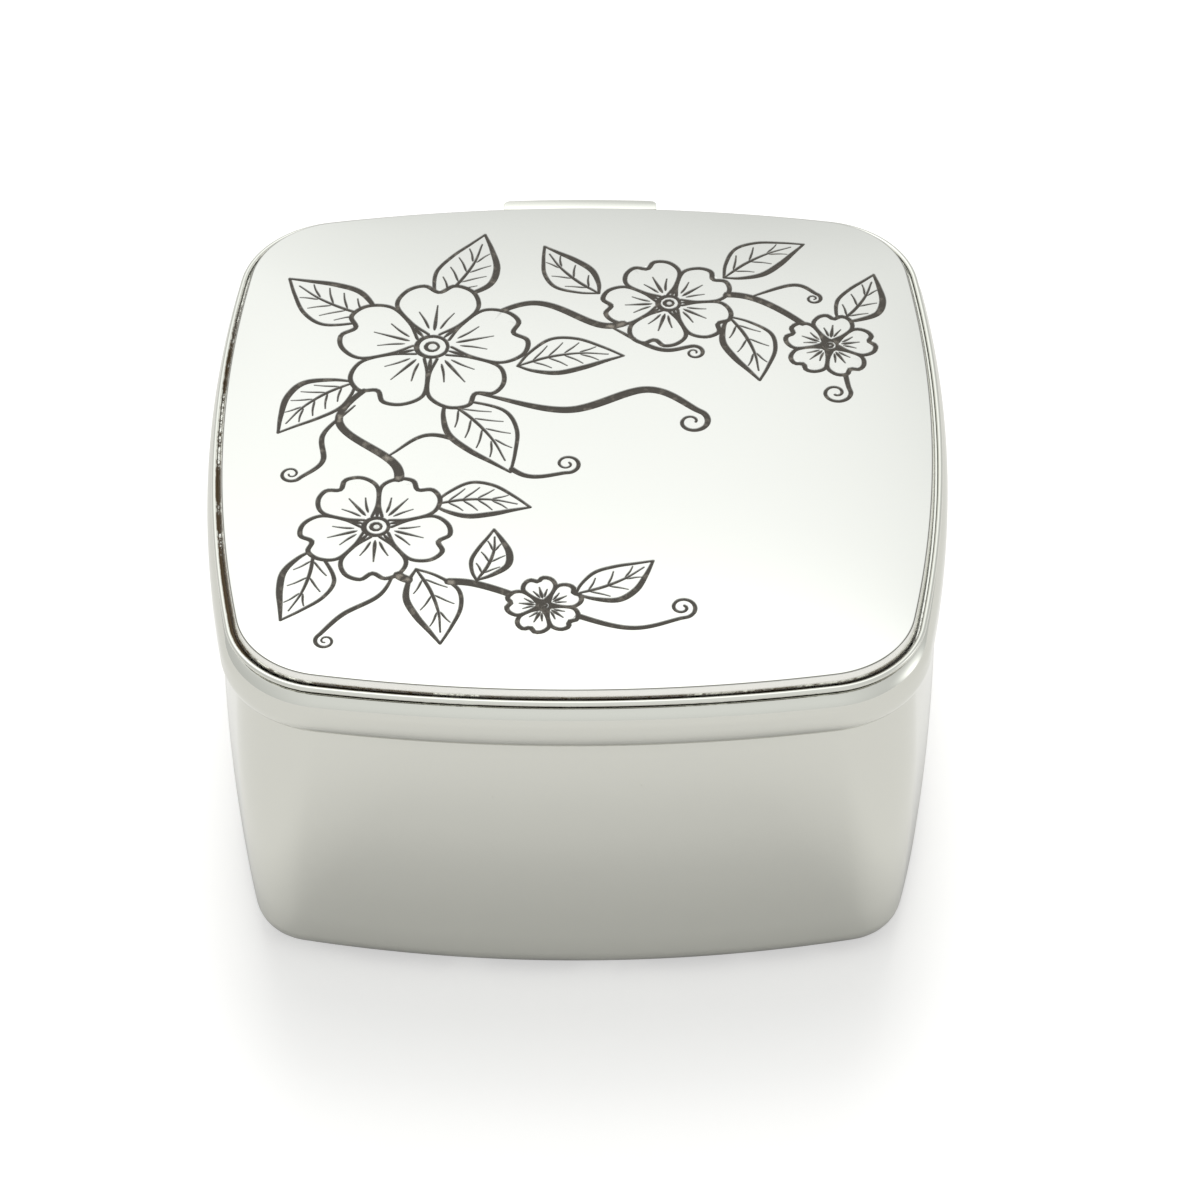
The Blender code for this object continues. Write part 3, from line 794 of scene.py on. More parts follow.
@dataclass
class LidFrame:
    """The lid's pan and lip in one casting, with the bright bead swept round its rim."""

    plan: BoxPlan
    rim_z: float = 38.1 * MM
    pan_top_z: float = 38.35 * MM
    pan_thickness: float = 0.8 * MM
    lip_z: float = 36.15 * MM
    lip_outer: float = -2.6 * MM
    lip_inner: float = -3.5 * MM
    lip_chamfer: float = 0.3 * MM
    bead_inner: float = 0.4 * MM
    bead_radius: float = 0.3 * MM
    bead_top_z: float = 38.8 * MM
    foot_round: float = 0.15 * MM
    foot_steps: int = 4
    gutter: float = 0.1 * MM
    gutter_reach: float = 0.5 * MM
    seat_dirt: tuple[float, ...] = (0.0, 1.0, 1.0, 0.0)
    bead_points: int = 28
    dirt_inward: tuple[float, float] = (0.25, 0.35)
    # Painted shade on the bead's underside, in the seam below it.
    seam_shade_below: tuple[float, float] = (0.2, 0.2)

    def bead_tree(self, plating: Material) -> tuple[Tree, str, str]:
        """The node group that sweeps the round bead along the rim and notes which way each point looks.

        Args:
            plating: the finish that the group sets.

        Returns:
            The group and the identifiers of its radius and point inputs.
        """
        tree = bpy.data.node_groups.new("rim_bead", "GeometryNodeTree")
        tree_input(tree, "Rim line", "NodeSocketGeometry")
        radius = tree_input(tree, "Bead radius", "NodeSocketFloat")
        points = tree_input(tree, "Points round the bead", "NodeSocketInt")
        given = add_node(tree, "NodeGroupInput").outputs
        upright = add_node(tree, "GeometryNodeSetCurveNormal", {"mode": "Z_UP"}, {"Curve": given["Rim line"]})
        ring = add_node(tree, "GeometryNodeCurvePrimitiveCircle", {"mode": "RADIUS"},
                        {"Resolution": given["Points round the bead"], "Radius": given["Bead radius"]})
        place = add_node(tree, "GeometryNodeInputPosition").outputs["Position"]
        across = add_node(tree, "ShaderNodeSeparateXYZ", {}, {"Vector": place}).outputs["X"]
        outward = add_node(tree, "ShaderNodeMath", {"operation": "DIVIDE"},
                           {0: across, 1: given["Bead radius"]})
        noted = add_node(tree, "GeometryNodeStoreNamedAttribute", {"data_type": "FLOAT", "domain": "POINT"},
                         {"Geometry": ring.outputs["Curve"], "Name": Mark.DIRT_AND_SHADE.value,
                          "Value": outward.outputs[0]})
        swept = add_node(tree, "GeometryNodeCurveToMesh", {},
                         {"Curve": upright.outputs["Curve"], "Profile Curve": noted.outputs["Geometry"]})
        end_group(tree, swept.outputs["Mesh"], plating, "Bead")
        return tree, radius, points

    def bead_mesh(self, plating: Material) -> Mesh:
        """The round bead, swept along the rim's own line."""
        line = self.plan.lid_ring(self.bead_inner + self.bead_radius, self.bead_top_z - self.bead_radius)
        curve = bpy.data.curves.new("rim_line", "CURVE")
        curve.dimensions = "3D"
        spline = curve.splines.new("POLY")
        spline.points.add(len(line) - 1)
        for point, place in zip(spline.points, line):
            point.co = (*place, 1)
        spline.use_cyclic_u = True
        holder = placed("rim_line", curve)
        modifier = holder.modifiers.new("rim_bead", "NODES")
        modifier.node_group, radius, points = self.bead_tree(plating)
        modifier[radius] = self.bead_radius
        modifier[points] = self.bead_points
        mesh = evaluated_copy(holder)
        bpy.data.objects.remove(holder)
        return mesh

    def bead_dirt_and_shade(self, outward: float, place: Vector) -> float:
        """How much old polish a point of the bead holds on its inner side, and how much painted shade it gets
        in the seam below it.

        Args:
            outward: share of the radius by which the point lies outside the bead's centre line.
            place: the point.

        Returns:
            The mark for its old polish and painted shade.
        """
        rise = (place.z - self.bead_top_z) / self.bead_radius + 1
        inner = clamped((-outward - self.dirt_inward[0]) / self.dirt_inward[1])
        # Painted shade: the bead's underside is darkened as the seam's shadow.
        seam = clamped((-rise - self.seam_shade_below[0]) / self.seam_shade_below[1])
        return max(inner, seam) * lid_dirt_and_shade_share(place)

    def section(self, seat: list[float]) -> Profile:
        """Section of the pan and its lip, from the lip's inside out to under the bead and back along the top.

        Args:
            seat: offsets of the top's points, from the bead inwards.

        Returns:
            The points.
        """
        points = [(self.lip_inner, self.pan_top_z - self.pan_thickness), (self.lip_inner, self.lip_z),
                  (self.lip_outer - self.lip_chamfer, self.lip_z),
                  (self.lip_outer, self.lip_z + self.lip_chamfer), (self.lip_outer, self.rim_z)]
        points += arc(seat[0] - self.foot_round, self.rim_z + self.foot_round, self.foot_round, -90, 0,
                      self.foot_steps)
        return points + [(offset, self.pan_top_z) for offset in seat]

    def build(self, plating: Material, painted_highlight: Material) -> None:
        """Cast the pan and lip, and set the bead on their rim.

        Args:
            plating: the bright plating.
            painted_highlight: a brighter copy of the plating on the bead, which paints its highlight.
        """
        seat = [self.bead_inner + self.bead_radius, self.bead_inner, self.gutter,
                self.gutter - self.gutter_reach]
        section = self.section(seat)
        pan = loft("lid_pan", [self.plan.lid_ring(offset, z) for offset, z in section])
        bead = self.bead_mesh(plating)
        around = self.plan.count()
        marks = [0.0] * (around * (len(section) - len(seat)))
        for share in self.seat_dirt:
            marks += [share * lid_dirt_and_shade_share(vert.co) for vert in pan.vertices[len(marks):len(marks) + around]]
        marks += [self.bead_dirt_and_shade(item.value, vert.co)
                  for item, vert in zip(bead.attributes[Mark.DIRT_AND_SHADE.value].data, bead.vertices)]
        form = bmesh.new()
        form.from_mesh(pan)
        pan_faces = len(form.faces)
        form.from_mesh(bead)
        for face in list(form.faces)[pan_faces:]:
            face.material_index = 1
        bmesh.ops.recalc_face_normals(form, faces=form.faces)
        mesh = mesh_of("lid_pan", form)
        for leftover in [item for item in mesh.attributes if item.name == Mark.DIRT_AND_SHADE.value]:
            mesh.attributes.remove(leftover)
        piece = new_piece("lid_pan", mesh, plating, painted_highlight)
        smooth(mesh)
        set_mark(mesh, Mark.DIRT_AND_SHADE, marks)
        settle(piece, Body.LID, "lid_frame")


def through(points: list[Vector], spacing: float = 0.4, chords: int = 24) -> list[Vector]:
    """A smooth line through given points, in even steps.

    Args:
        points: where the line passes, in plan.
        spacing: distance between the points that come back.
        chords: how finely each stretch is first followed.

    Returns:
        Points along a Catmull-Rom curve, first and last as given.
    """
    ends = [points[0] * 2 - points[1], *points, points[-1] * 2 - points[-2]]
    dense = [points[0]]
    for before, start, stop, after in zip(ends, ends[1:], ends[2:], ends[3:]):
        for step in range(1, chords + 1):
            t = step / chords
            bend = before * 2 - start * 5 + stop * 4 - after
            twist = start * 3 - before - stop * 3 + after
            dense.append((start * 2 + (stop - before) * t + bend * t ** 2 + twist * t ** 3) / 2)
    lengths = [0.0]
    for here, after in zip(dense, dense[1:]):
        lengths.append(lengths[-1] + (after - here).length)
    count = max(2, round(lengths[-1] / spacing))
    line, at = [], 0
    for step in range(count + 1):
        goal = lengths[-1] * step / count
        while at < len(lengths) - 2 and lengths[at + 1] < goal:
            at += 1
        part = (goal - lengths[at]) / max(lengths[at + 1] - lengths[at], 1e-9)
        line.append(dense[at].lerp(dense[at + 1], min(part, 1.0)))
    return line


@dataclass
class Stroke:
    """One cut of the graver: its centre line in plan, in mm, and its half width at each point."""

    line: list[Vector]
    half_widths: list[float]

    @classmethod
    def pen(cls, points: list[Vector], thin: float, thick: float, lean: float = 1.0,
            spacing: float = 0.3) -> "Stroke":
        """A thick and thin cut through points.

        Args:
            points: where it passes.
            thin: half width at its ends.
            thick: half width where it is widest.
            lean: below 1 puts the widest place nearer the start.
            spacing: distance between the points of its line.

        Returns:
            The stroke.
        """
        line = through(points, spacing)
        last = len(line) - 1
        swells = [math.sin(math.pi * (step / last) ** lean) ** 1.2 for step in range(last + 1)]
        return cls(line, [thin + (thick - thin) * swell for swell in swells])

    def border(self, grow: float) -> list[Vector]:
        """The closed line round the cut, with rounded ends.

        Args:
            grow: how far outside its half width the line runs.

        Returns:
            The points, once round.
        """
        last = len(self.line) - 1
        runs = [self.line[min(at + 1, last)] - self.line[max(at - 1, 0)] for at in range(last + 1)]
        sides = [Vector((-run.y, run.x)).normalized() for run in runs]
        reaches = [max(half + grow, 0.02) for half in self.half_widths]
        left = [point + side * reach for point, side, reach in zip(self.line, sides, reaches)]
        right = [point - side * reach for point, side, reach in zip(self.line, sides, reaches)]
        ends = []
        turns = [math.radians(turn) for turn in (45, 90, 135)]
        for at, ahead in ((last, 1), (0, -1)):
            forward = runs[at].normalized() * ahead
            side = sides[at] * ahead
            ends.append([self.line[at] + (side * math.cos(turn) + forward * math.sin(turn)) * reaches[at]
                         for turn in turns])
        return left + ends[0] + right[::-1] + ends[1]

    def outside(self, covers: list[list[Vector]]) -> list["Stroke"]:
        """What is left of the stroke outside the shapes that lie in front of it.

        Args:
            covers: closed outlines.

        Returns:
            The parts that stay, each at least three points long.
        """
        parts = [Stroke([], [])]
        for point, width in zip(self.line, self.half_widths):
            if any(is_within(point, cover) for cover in covers):
                parts.append(Stroke([], []))
            else:
                parts[-1].line.append(point)
                parts[-1].half_widths.append(width)
        return [part for part in parts if len(part.line) > 2]


@dataclass(frozen=True)
class Leaf:
    """A lance-shaped leaf with a midrib, side veins and a shaded side."""

    base: tuple[float, float]
    tip: tuple[float, float]
    width: float = 0.26
    bend: float = 0.10
    veins: int = 4
    shape: tuple = ((0, 0), (0.14, 0.55), (0.36, 1.0), (0.6, 0.86), (0.82, 0.42), (1, 0))

    def at(self, along: float, across: float) -> Vector:
        """A point of the leaf, from its base along to its tip and across."""
        base, tip = Vector(self.base), Vector(self.tip)
        axis = tip - base
        side = Vector((-axis.y, axis.x))
        return base + axis * along + side * (across + self.bend * math.sin(math.pi * along))

    def half_width(self, along: float) -> float:
        """How wide one side of the leaf is, from its base along to its tip."""
        for (start, low), (stop, high) in zip(self.shape, self.shape[1:]):
            if along <= stop:
                return self.width * (low + (high - low) * (along - start) / (stop - start))
        return 0.0

    def edge(self, side: int) -> list[Vector]:
        """One edge of the leaf, as the points that it passes through."""
        return [self.at(along, side * share * self.width) for along, share in self.shape]

    def cover(self) -> list[list[Vector]]:
        """The leaf's outline, which hides what lies behind it."""
        return [through(self.edge(1), 0.8) + through(self.edge(-1), 0.8)[::-1]]

    def strokes(self) -> list[Stroke]:
        """The cuts that draw the leaf."""
        cuts = [Stroke.pen(self.edge(1), 0.13, 0.2), Stroke.pen(self.edge(-1), 0.13, 0.34)]
        cuts.append(Stroke.pen([self.at(along, 0) for along in (0.0, 0.3, 0.6, 0.86)], 0.07, 0.17, 0.6))
        for vein in range(self.veins):
            along = 0.16 + 0.45 * vein / max(self.veins - 1, 1)
            reach = self.half_width(along + 0.15) * 0.72
            for side in (1, -1):
                line = [self.at(along, side * 0.02), self.at(along + 0.09, side * reach * 0.6),
                        self.at(along + 0.15, side * reach)]
                cuts.append(Stroke.pen(line, 0.05, 0.1, 0.5))
        return cuts


@dataclass(frozen=True)
class Blossom:
    """An open five-petalled flower seen from above."""

    centre: tuple[float, float]
    radius: float
    turn: float
    petals: int = 5
    petal_lines: tuple = ((0.0, 0.27, 0.68, 0.17), (0.09, 0.3, 0.56, 0.12), (-0.09, 0.3, 0.56, 0.12))

    def at(self, out: float, across: float, heading: float) -> Vector:
        """A point of a petal: share of the radius out along its heading, and across."""
        turn = math.radians(heading)
        ahead = Vector((math.cos(turn), math.sin(turn)))
        side = Vector((-ahead.y, ahead.x))
        return Vector(self.centre) + (ahead * out + side * across) * self.radius

    def headings(self) -> list[float]:
        """The way that each petal points, in degrees."""
        return [self.turn + 360 * petal / self.petals for petal in range(self.petals)]

    def petal(self, heading: float) -> list[Vector]:
        """A petal's outline, as the points that it passes through."""
        shape = ((0.2, 0.06), (0.38, 0.26), (0.66, 0.44), (0.9, 0.36), (1.0, 0.17), (0.9, 0.0), (1.02, -0.16),
                 (0.92, -0.37), (0.66, -0.44), (0.38, -0.27), (0.2, -0.06))
        return [self.at(out, across, heading) for out, across in shape]

    def cover(self) -> list[list[Vector]]:
        """The outlines that hide what lies behind: each petal and the eye."""
        eye = [self.at(0.24, 0, heading) for heading in range(0, 360, 30)]
        return [through(self.petal(heading), 0.8) for heading in self.headings()] + [eye]

    def strokes(self) -> list[Stroke]:
        """The cuts that draw the flower."""
        cuts = []
        eye = [self.at(0.17, 0, heading) for heading in range(0, 361, 30)]
        cuts.append(Stroke.pen(eye, 0.16, 0.26))
        cuts.append(Stroke.pen([self.at(0.07, 0, heading) for heading in range(0, 361, 45)], 0.12, 0.2))
        for heading in self.headings():
            cuts.append(Stroke.pen(self.petal(heading), 0.15, 0.24))
            for across, start, stop, thick in self.petal_lines:
                places = ((start, across * 0.7), ((start + stop) / 2, across * 1.3), (stop, across * 2.1))
                cuts.append(Stroke.pen([self.at(*place, heading) for place in places], 0.05, thick, 0.5))
            between = heading + 180 / self.petals
            cuts.append(Stroke.pen([self.at(out, 0, between) for out in (0.2, 0.29, 0.36)], 0.1, 0.2))
        return cuts


@dataclass(frozen=True)
class Tendril:
    """A bold stem or a fine tendril, which may end in a curl."""

    points: tuple[tuple[float, float], ...]
    thin: float = 0.12
    thick: float = 0.36
    curl: float = 0.0
    turns: float = 1.35
    curl_steps: int = 14
    tightening: float = 0.78

    def cover(self) -> list[list[Vector]]:
        """A stem hides nothing."""
        return []

    def strokes(self) -> list[Stroke]:
        """The cut that draws the stem, with its curl wound in at the end."""
        points = [Vector(point) for point in self.points]
        if self.curl:
            points = through(points, abs(self.curl) * 0.6)
            heading = points[-1] - points[-2]
            start = math.atan2(heading.y, heading.x)
            hand = math.copysign(1, self.curl)
            sweep = math.tau * self.turns
            for step in range(1, self.curl_steps + 1):
                share = step / self.curl_steps
                turn = start + hand * sweep * share
                stride = abs(self.curl) * (1 - self.tightening * share) * sweep / self.curl_steps
                points.append(points[-1] + Vector((math.cos(turn), math.sin(turn))) * stride)
        return [Stroke.pen(points, self.thin, self.thick, 0.8, 0.2)]


@dataclass
class FlowerSpray:
    """The engraved picture: a common corner spray of flowers, leaves and tendrils, front motifs first."""

    motifs: tuple = (
        Blossom((-14.5, 13.0), 9.2, 14), Blossom((9.0, 19.5), 6.4, 40), Blossom((-19.5, -13.0), 7.2, -20),
        Blossom((25.0, 13.5), 4.4, 12), Blossom((-3.0, -24.0), 3.6, 30),
        Leaf((-20.0, 17.5), (-29.0, 24.0), 0.27, 0.08), Leaf((-14.0, 20.0), (-9.5, 30.5), 0.25, -0.08),
        Leaf((-6.0, 10.0), (4.5, 11.5), 0.24, 0.10), Leaf((-13.0, 5.0), (-6.5, -5.5), 0.26, 0.08),
        Leaf((-22.0, 8.0), (-29.5, 1.0), 0.26, -0.10), Leaf((2.0, 21.0), (-3.5, 28.5), 0.24, 0.08, 3),
        Leaf((14.5, 23.5), (22.5, 29.0), 0.25, 0.08, 3), Leaf((15.0, 17.5), (18.0, 8.0), 0.25, 0.08, 3),
        Leaf((26.0, 17.0), (29.5, 24.5), 0.26, -0.08, 3), Leaf((-14.0, -10.0), (-4.5, -10.5), 0.25, 0.10),
        Leaf((-25.5, -16.0), (-28.5, -25.5), 0.26, 0.08, 3),
        Leaf((-15.5, -19.0), (-13.0, -29.0), 0.25, 0.08, 3),
        Leaf((-9.6, -20.6), (-8.0, -13.6), 0.25, -0.10, 3), Leaf((0.0, -22.5), (7.5, -18.0), 0.25, -0.08, 3),
        Tendril(((-14.5, 13.0), (-5.0, 19.5), (3.0, 16.0), (9.0, 19.5), (17.0, 20.5), (25.0, 13.5),
                 (27.0, 6.5)), 0.14, 0.46, -1.5),
        Tendril(((-14.5, 13.0), (-23.5, 3.0), (-17.5, -5.0), (-19.5, -13.0), (-17.0, -20.0), (-10.0, -21.0),
                 (-3.0, -24.0), (5.0, -27.0), (11.0, -25.5)), 0.14, 0.5, 1.4),
        Tendril(((-10.0, 6.0), (-1.0, 3.5), (7.0, 6.5), (12.5, 3.0)), 0.12, 0.5, -1.7, 1.2),
        Tendril(((-18.6, -3.0), (-14.5, 0.0), (-9.0, -2.5), (-5.0, -6.0), (-0.5, -5.5)), 0.1, 0.32, 1.3),
        Tendril(((3.0, 16.0), (8.0, 12.5), (11.5, 13.0)), 0.08, 0.28, -1.0),
        Tendril(((-22.0, 4.5), (-25.0, 0.5), (-25.0, -3.5), (-27.5, -6.0)), 0.08, 0.26, -1.1),
        Tendril(((-17.4, -19.0), (-19.0, -22.5), (-22.5, -25.0), (-25.0, -28.0)), 0.08, 0.26, 1.0),
        Tendril(((17.0, 20.5), (21.5, 22.5), (24.0, 21.0)), 0.08, 0.24, -0.8),
    )

    def strokes(self) -> list[Stroke]:
        """Every cut of the picture, with what lies behind other motifs left out."""
        cuts, covers = [], []
        for motif in self.motifs:
            for stroke in motif.strokes():
                cuts += stroke.outside(covers)
            covers += motif.cover()
        return cuts


def search_tree(points: list[Vector]) -> KDTree:
    """A tree that finds the nearest of many points in plan."""
    tree = KDTree(len(points))
    for index, point in enumerate(points):
        tree.insert((point.x, point.y, 0), index)
    tree.balance()
    return tree


@dataclass
class LidPlate:
    """The domed plate, with a softly rounded edge and a flower spray cut into its face."""

    plan: BoxPlan
    under_z: float = 38.65 * MM
    edge_z: float = 39.65 * MM
    dome: float = 1.2 * MM
    margin_share: float = 0.55
    edge_round: float = 0.2 * MM
    flare: float = 0.22 * MM
    flare_left: tuple[float, ...] = (1.0, 0.93, 0.72)
    side_tips: tuple[float, ...] = (0.3, 0.55, 0.8)
    smudge_height: float = 0.45 * MM
    sheared_painted_pale_levels: tuple[int, int] = (0, 3)
    painted_dark_edge_levels: tuple[int, int] = (5, 8)
    side_soil: tuple[float, float, float] = (0.5, 0.14, 0.0)
    lean: float = 20.0
    edge_steps: int = 8
    cut_depth: float = 0.1 * MM
    cut_wall: float = 0.09 * MM
    worn_from: float = 0.2 * MM
    worn_fade: float = 0.16 * MM
    search_room: float = 0.4 * MM
    grid_step: float = 1.2 * MM
    grid_clear: float = 0.45
    same_point: float = 1e-5
    least_depth: float = 0.02
    fill_gain: float = 1.15
    harmonics: int = 5
    shape: list[float] = field(default_factory=list)

    def fit_dome(self, rim: list[Vector]) -> None:
        """Find the dome that a pressed sheet takes: curved most near its margin, and level all along its rim.

        Args:
            rim: the plate's top edge, in plan.
        """
        half = self.plan.half
        places = [(math.hypot(point.x, point.y) / half, math.atan2(point.y, point.x)) for point in rim]
        rows = np.array([[out ** (4 * order) * math.cos(4 * order * turn) for order in range(self.harmonics)]
                         for out, turn in places])
        share = self.margin_share
        goal = np.array([(1 - share) * out ** 2 + share * out ** 4 for out, _ in places])
        found = np.linalg.lstsq(rows, goal, rcond=None)[0]
        self.shape = [float(value) for value in found]

    def surface(self, x: float, y: float) -> tuple[float, Vector]:
        """Height of the dome above its rim, and its normal.

        Args:
            x: place across.
            y: place towards the back.

        Returns:
            The height and the unit normal.
        """
        across, deep = x / self.plan.half, y / self.plan.half
        spot = complex(across, deep)
        out = across ** 2 + deep ** 2
        height = -((1 - self.margin_share) * out + self.margin_share * out ** 2)
        steepening = -2 * (1 - self.margin_share) - 4 * self.margin_share * out
        slope_x, slope_y = steepening * across, steepening * deep
        for order, weight in enumerate(self.shape):
            power = spot ** (4 * order)
            height += weight * power.real
            if order:
                change = 4 * order * spot ** (4 * order - 1)
                slope_x += weight * change.real
                slope_y -= weight * change.imag
        scale = self.dome / self.shape[0]
        steep = scale / self.plan.half
        return height * scale, Vector((-slope_x * steep, -slope_y * steep, 1)).normalized()

    def groove(self, point: Vector, near: list[tuple[Stroke, int]]) -> tuple[float, float]:
        """How deep the graver cut at a point.

        Args:
            point: the place, in mm.
            near: the strokes' segments that pass close by.

        Returns:
            The share of the full depth, and the share of wear in the middle of a wide cut.
        """
        depth, wear = 0.0, 0.0
        wall, worn_from, worn_fade = self.cut_wall / MM, self.worn_from / MM, self.worn_fade / MM
        for stroke, at in near:
            start, stop = stroke.line[at], stroke.line[at + 1]
            run = stop - start
            share = clamped((point - start).dot(run) / run.length_squared)
            half = stroke.half_widths[at] * (1 - share) + stroke.half_widths[at + 1] * share
            away = (point - start - run * share).length
            depth = max(depth, clamped((half + wall / 2 - away) / wall))
            wear = max(wear, clamped((half - worn_from - away) / worn_fade))
        return depth, wear

    def cuts(self, strokes: list[Stroke], spots: list[Vector]) -> list[tuple[float, float]]:
        """How deep and how worn the engraving is at each spot, in mm, of the face."""
        segments = [(stroke, at) for stroke in strokes for at in range(len(stroke.line) - 1)]
        tree = search_tree([(stroke.line[at] + stroke.line[at + 1]) / 2 for stroke, at in segments])
        reach = max(max(stroke.half_widths) for stroke in strokes) + self.search_room / MM
        found = [tree.find_range((spot.x, spot.y, 0), reach) for spot in spots]
        return [self.groove(spot, [segments[item[1]] for item in near]) for spot, near in zip(spots, found)]

    def sheet(self, rim: list[Vector], strokes: list[Stroke]) -> tuple[list[Vector], list[tuple[int, ...]]]:
        """Triangulate the face so that its edges run along every cut.

        Args:
            rim: the plate's top edge, in mm.
            strokes: the cuts.

        Returns:
            The points, in mm, and the triangles.
        """
        points = [Vector((point.x, point.y)) for point in rim]
        edges = [(here, (here + 1) % len(rim)) for here in range(len(rim))]
        wall = self.cut_wall / MM / 2
        for stroke in strokes:
            for grow in (wall, -wall):
                first = len(points)
                points += stroke.border(grow)
                edges += [(here, here + 1) for here in range(first, len(points) - 1)]
                edges.append((len(points) - 1, first))
        step = self.grid_step / MM
        reach = int(self.plan.half / self.grid_step) + 1
        taken = search_tree(points)
        for row in range(-reach, reach + 1):
            for column in range(-reach, reach + 1):
                spot = Vector((column * step + (row % 2) * step / 2, row * step))
                if taken.find((spot.x, spot.y, 0))[2] > step * self.grid_clear and is_within(spot, rim):
                    points.append(spot)
        result = delaunay_2d_cdt(points, edges, [], 0, self.same_point, True)
        return result[0], [tuple(face) for face in result[2]]

    def edge_profile(self) -> tuple[Profile, list[float]]:
        """Section of the plate's edge from below up to its face, and how far each level is tipped up.

        Returns:
            The section, and the angles in radians.
        """
        steps = [self.lean + (90 - self.lean) * step / self.edge_steps for step in range(self.edge_steps + 1)]
        tips = [self.lean * share for share in self.side_tips] + steps
        points = [(self.flare * left, self.under_z + self.smudge_height * level / 2)
                  for level, left in enumerate(self.flare_left)]
        points += arc(-self.edge_round, self.edge_z - self.edge_round, self.edge_round, self.lean, 90,
                      self.edge_steps)
        return points, [math.radians(tip) for tip in tips]

    def build(self, plating: Material, sheared_painted_pale: Material, painted_dark_edge: Material) -> None:
        """Press the plate and engrave it.

        Args:
            plating: the engraved plating.
            sheared_painted_pale: the duller finish of its sheared edge, in a paler copy of the plating that
                paints a pale reflection.
            painted_dark_edge: a darker copy of the plating on the thin line round its top edge, a painted
                dark reflection.
        """
        profile, turns = self.edge_profile()
        rings = [self.plan.lid_ring(offset, z) for offset, z in profile]
        rim = [Vector((point.x, point.y)) / MM for point in rings[-1]]
        self.fit_dome(rings[-1])
        strokes = FlowerSpray().strokes()
        spots, triangles = self.sheet(rim, strokes)
        cuts = self.cuts(strokes, spots)
        LOG.info("engraved_plate: %d cuts, %d triangles on its face", len(strokes), len(triangles))

        count = len(rim)
        places = [point for ring in rings[:-1] for point in ring]
        first = len(places)
        for index, (spot, (depth, _)) in enumerate(zip(spots, cuts)):
            rise = self.surface(spot.x * MM, spot.y * MM)[0] if index >= count else 0.0
            places.append(Vector((spot.x * MM, spot.y * MM, self.edge_z + rise - depth * self.cut_depth)))
        faces = [tuple(range(count))[::-1]]
        for low in range(0, first, count):
            for here in range(count):
                after = (here + 1) % count
                faces.append((low + here, low + after, low + count + after, low + count + here))
        sides = len(faces)
        faces += [tuple(first + corner for corner in triangle) for triangle in triangles]

        mesh = bpy.data.meshes.new("engraved_plate")
        mesh.from_pydata(places, [], faces)
        mesh.shade_smooth()
        plate = new_piece("engraved_plate", mesh, plating, sheared_painted_pale, painted_dark_edge)
        # Painted light on the edge: the side gets a paler copy of the plating, and the line round the top
        # edge a darker copy as a painted dark reflection.
        for index, (low, high) in enumerate((self.sheared_painted_pale_levels, self.painted_dark_edge_levels), 1):
            for face in mesh.polygons[low * count + 1:high * count + 1]:
                face.material_index = index
        depths = [0.0] * first + [depth for depth, _ in cuts]
        marked = count * len(self.side_soil)
        set_mark(mesh, Mark.FILL, [min(depth * self.fill_gain, 1.0) for depth in depths])
        set_mark(mesh, Mark.WORN, [0.0] * first + [wear for _, wear in cuts])
        set_mark(mesh, Mark.DIRT_AND_SHADE, [lid_dirt_and_shade_share(place) * self.side_soil[at // count] if at < marked else 0.0
                                   for at, place in enumerate(places)])
        self.set_normals(mesh, turns, sides, first, depths)
        settle(plate, Body.LID, "lid_plate")

    def set_normals(self, mesh: Mesh, turns: list[float], sides: int, first: int,
                    depths: list[float]) -> None:
        """Give the face the dome's own normals, so that its reflections run as smoothly as on pressed metal.

        Args:
            mesh: the plate.
            turns: how far each level of its edge is tipped up.
            sides: how many faces come before those of its face.
            first: the number of the face's first point.
            depths: each point's share of the full cut.
        """
        count = self.plan.count()
        outward = self.plan.normals()
        normals = []
        for face in mesh.polygons:
            flat = face.normal.copy()
            uncut = max(depths[corner] for corner in face.vertices) < self.least_depth
            for corner in face.vertices:
                place = mesh.vertices[corner].co
                if face.index == 0:
                    normals.append(flat)
                elif corner >= first and (face.index < sides or uncut):
                    normals.append(self.surface(place.x, place.y)[1])
                elif face.index >= sides:
                    normals.append(flat)
                else:
                    turn = turns[corner // count]
                    out = outward[corner % count] * math.cos(turn)
                    normals.append(Vector((out.x, out.y, math.sin(turn))))
        mesh.normals_split_custom_set(normals)


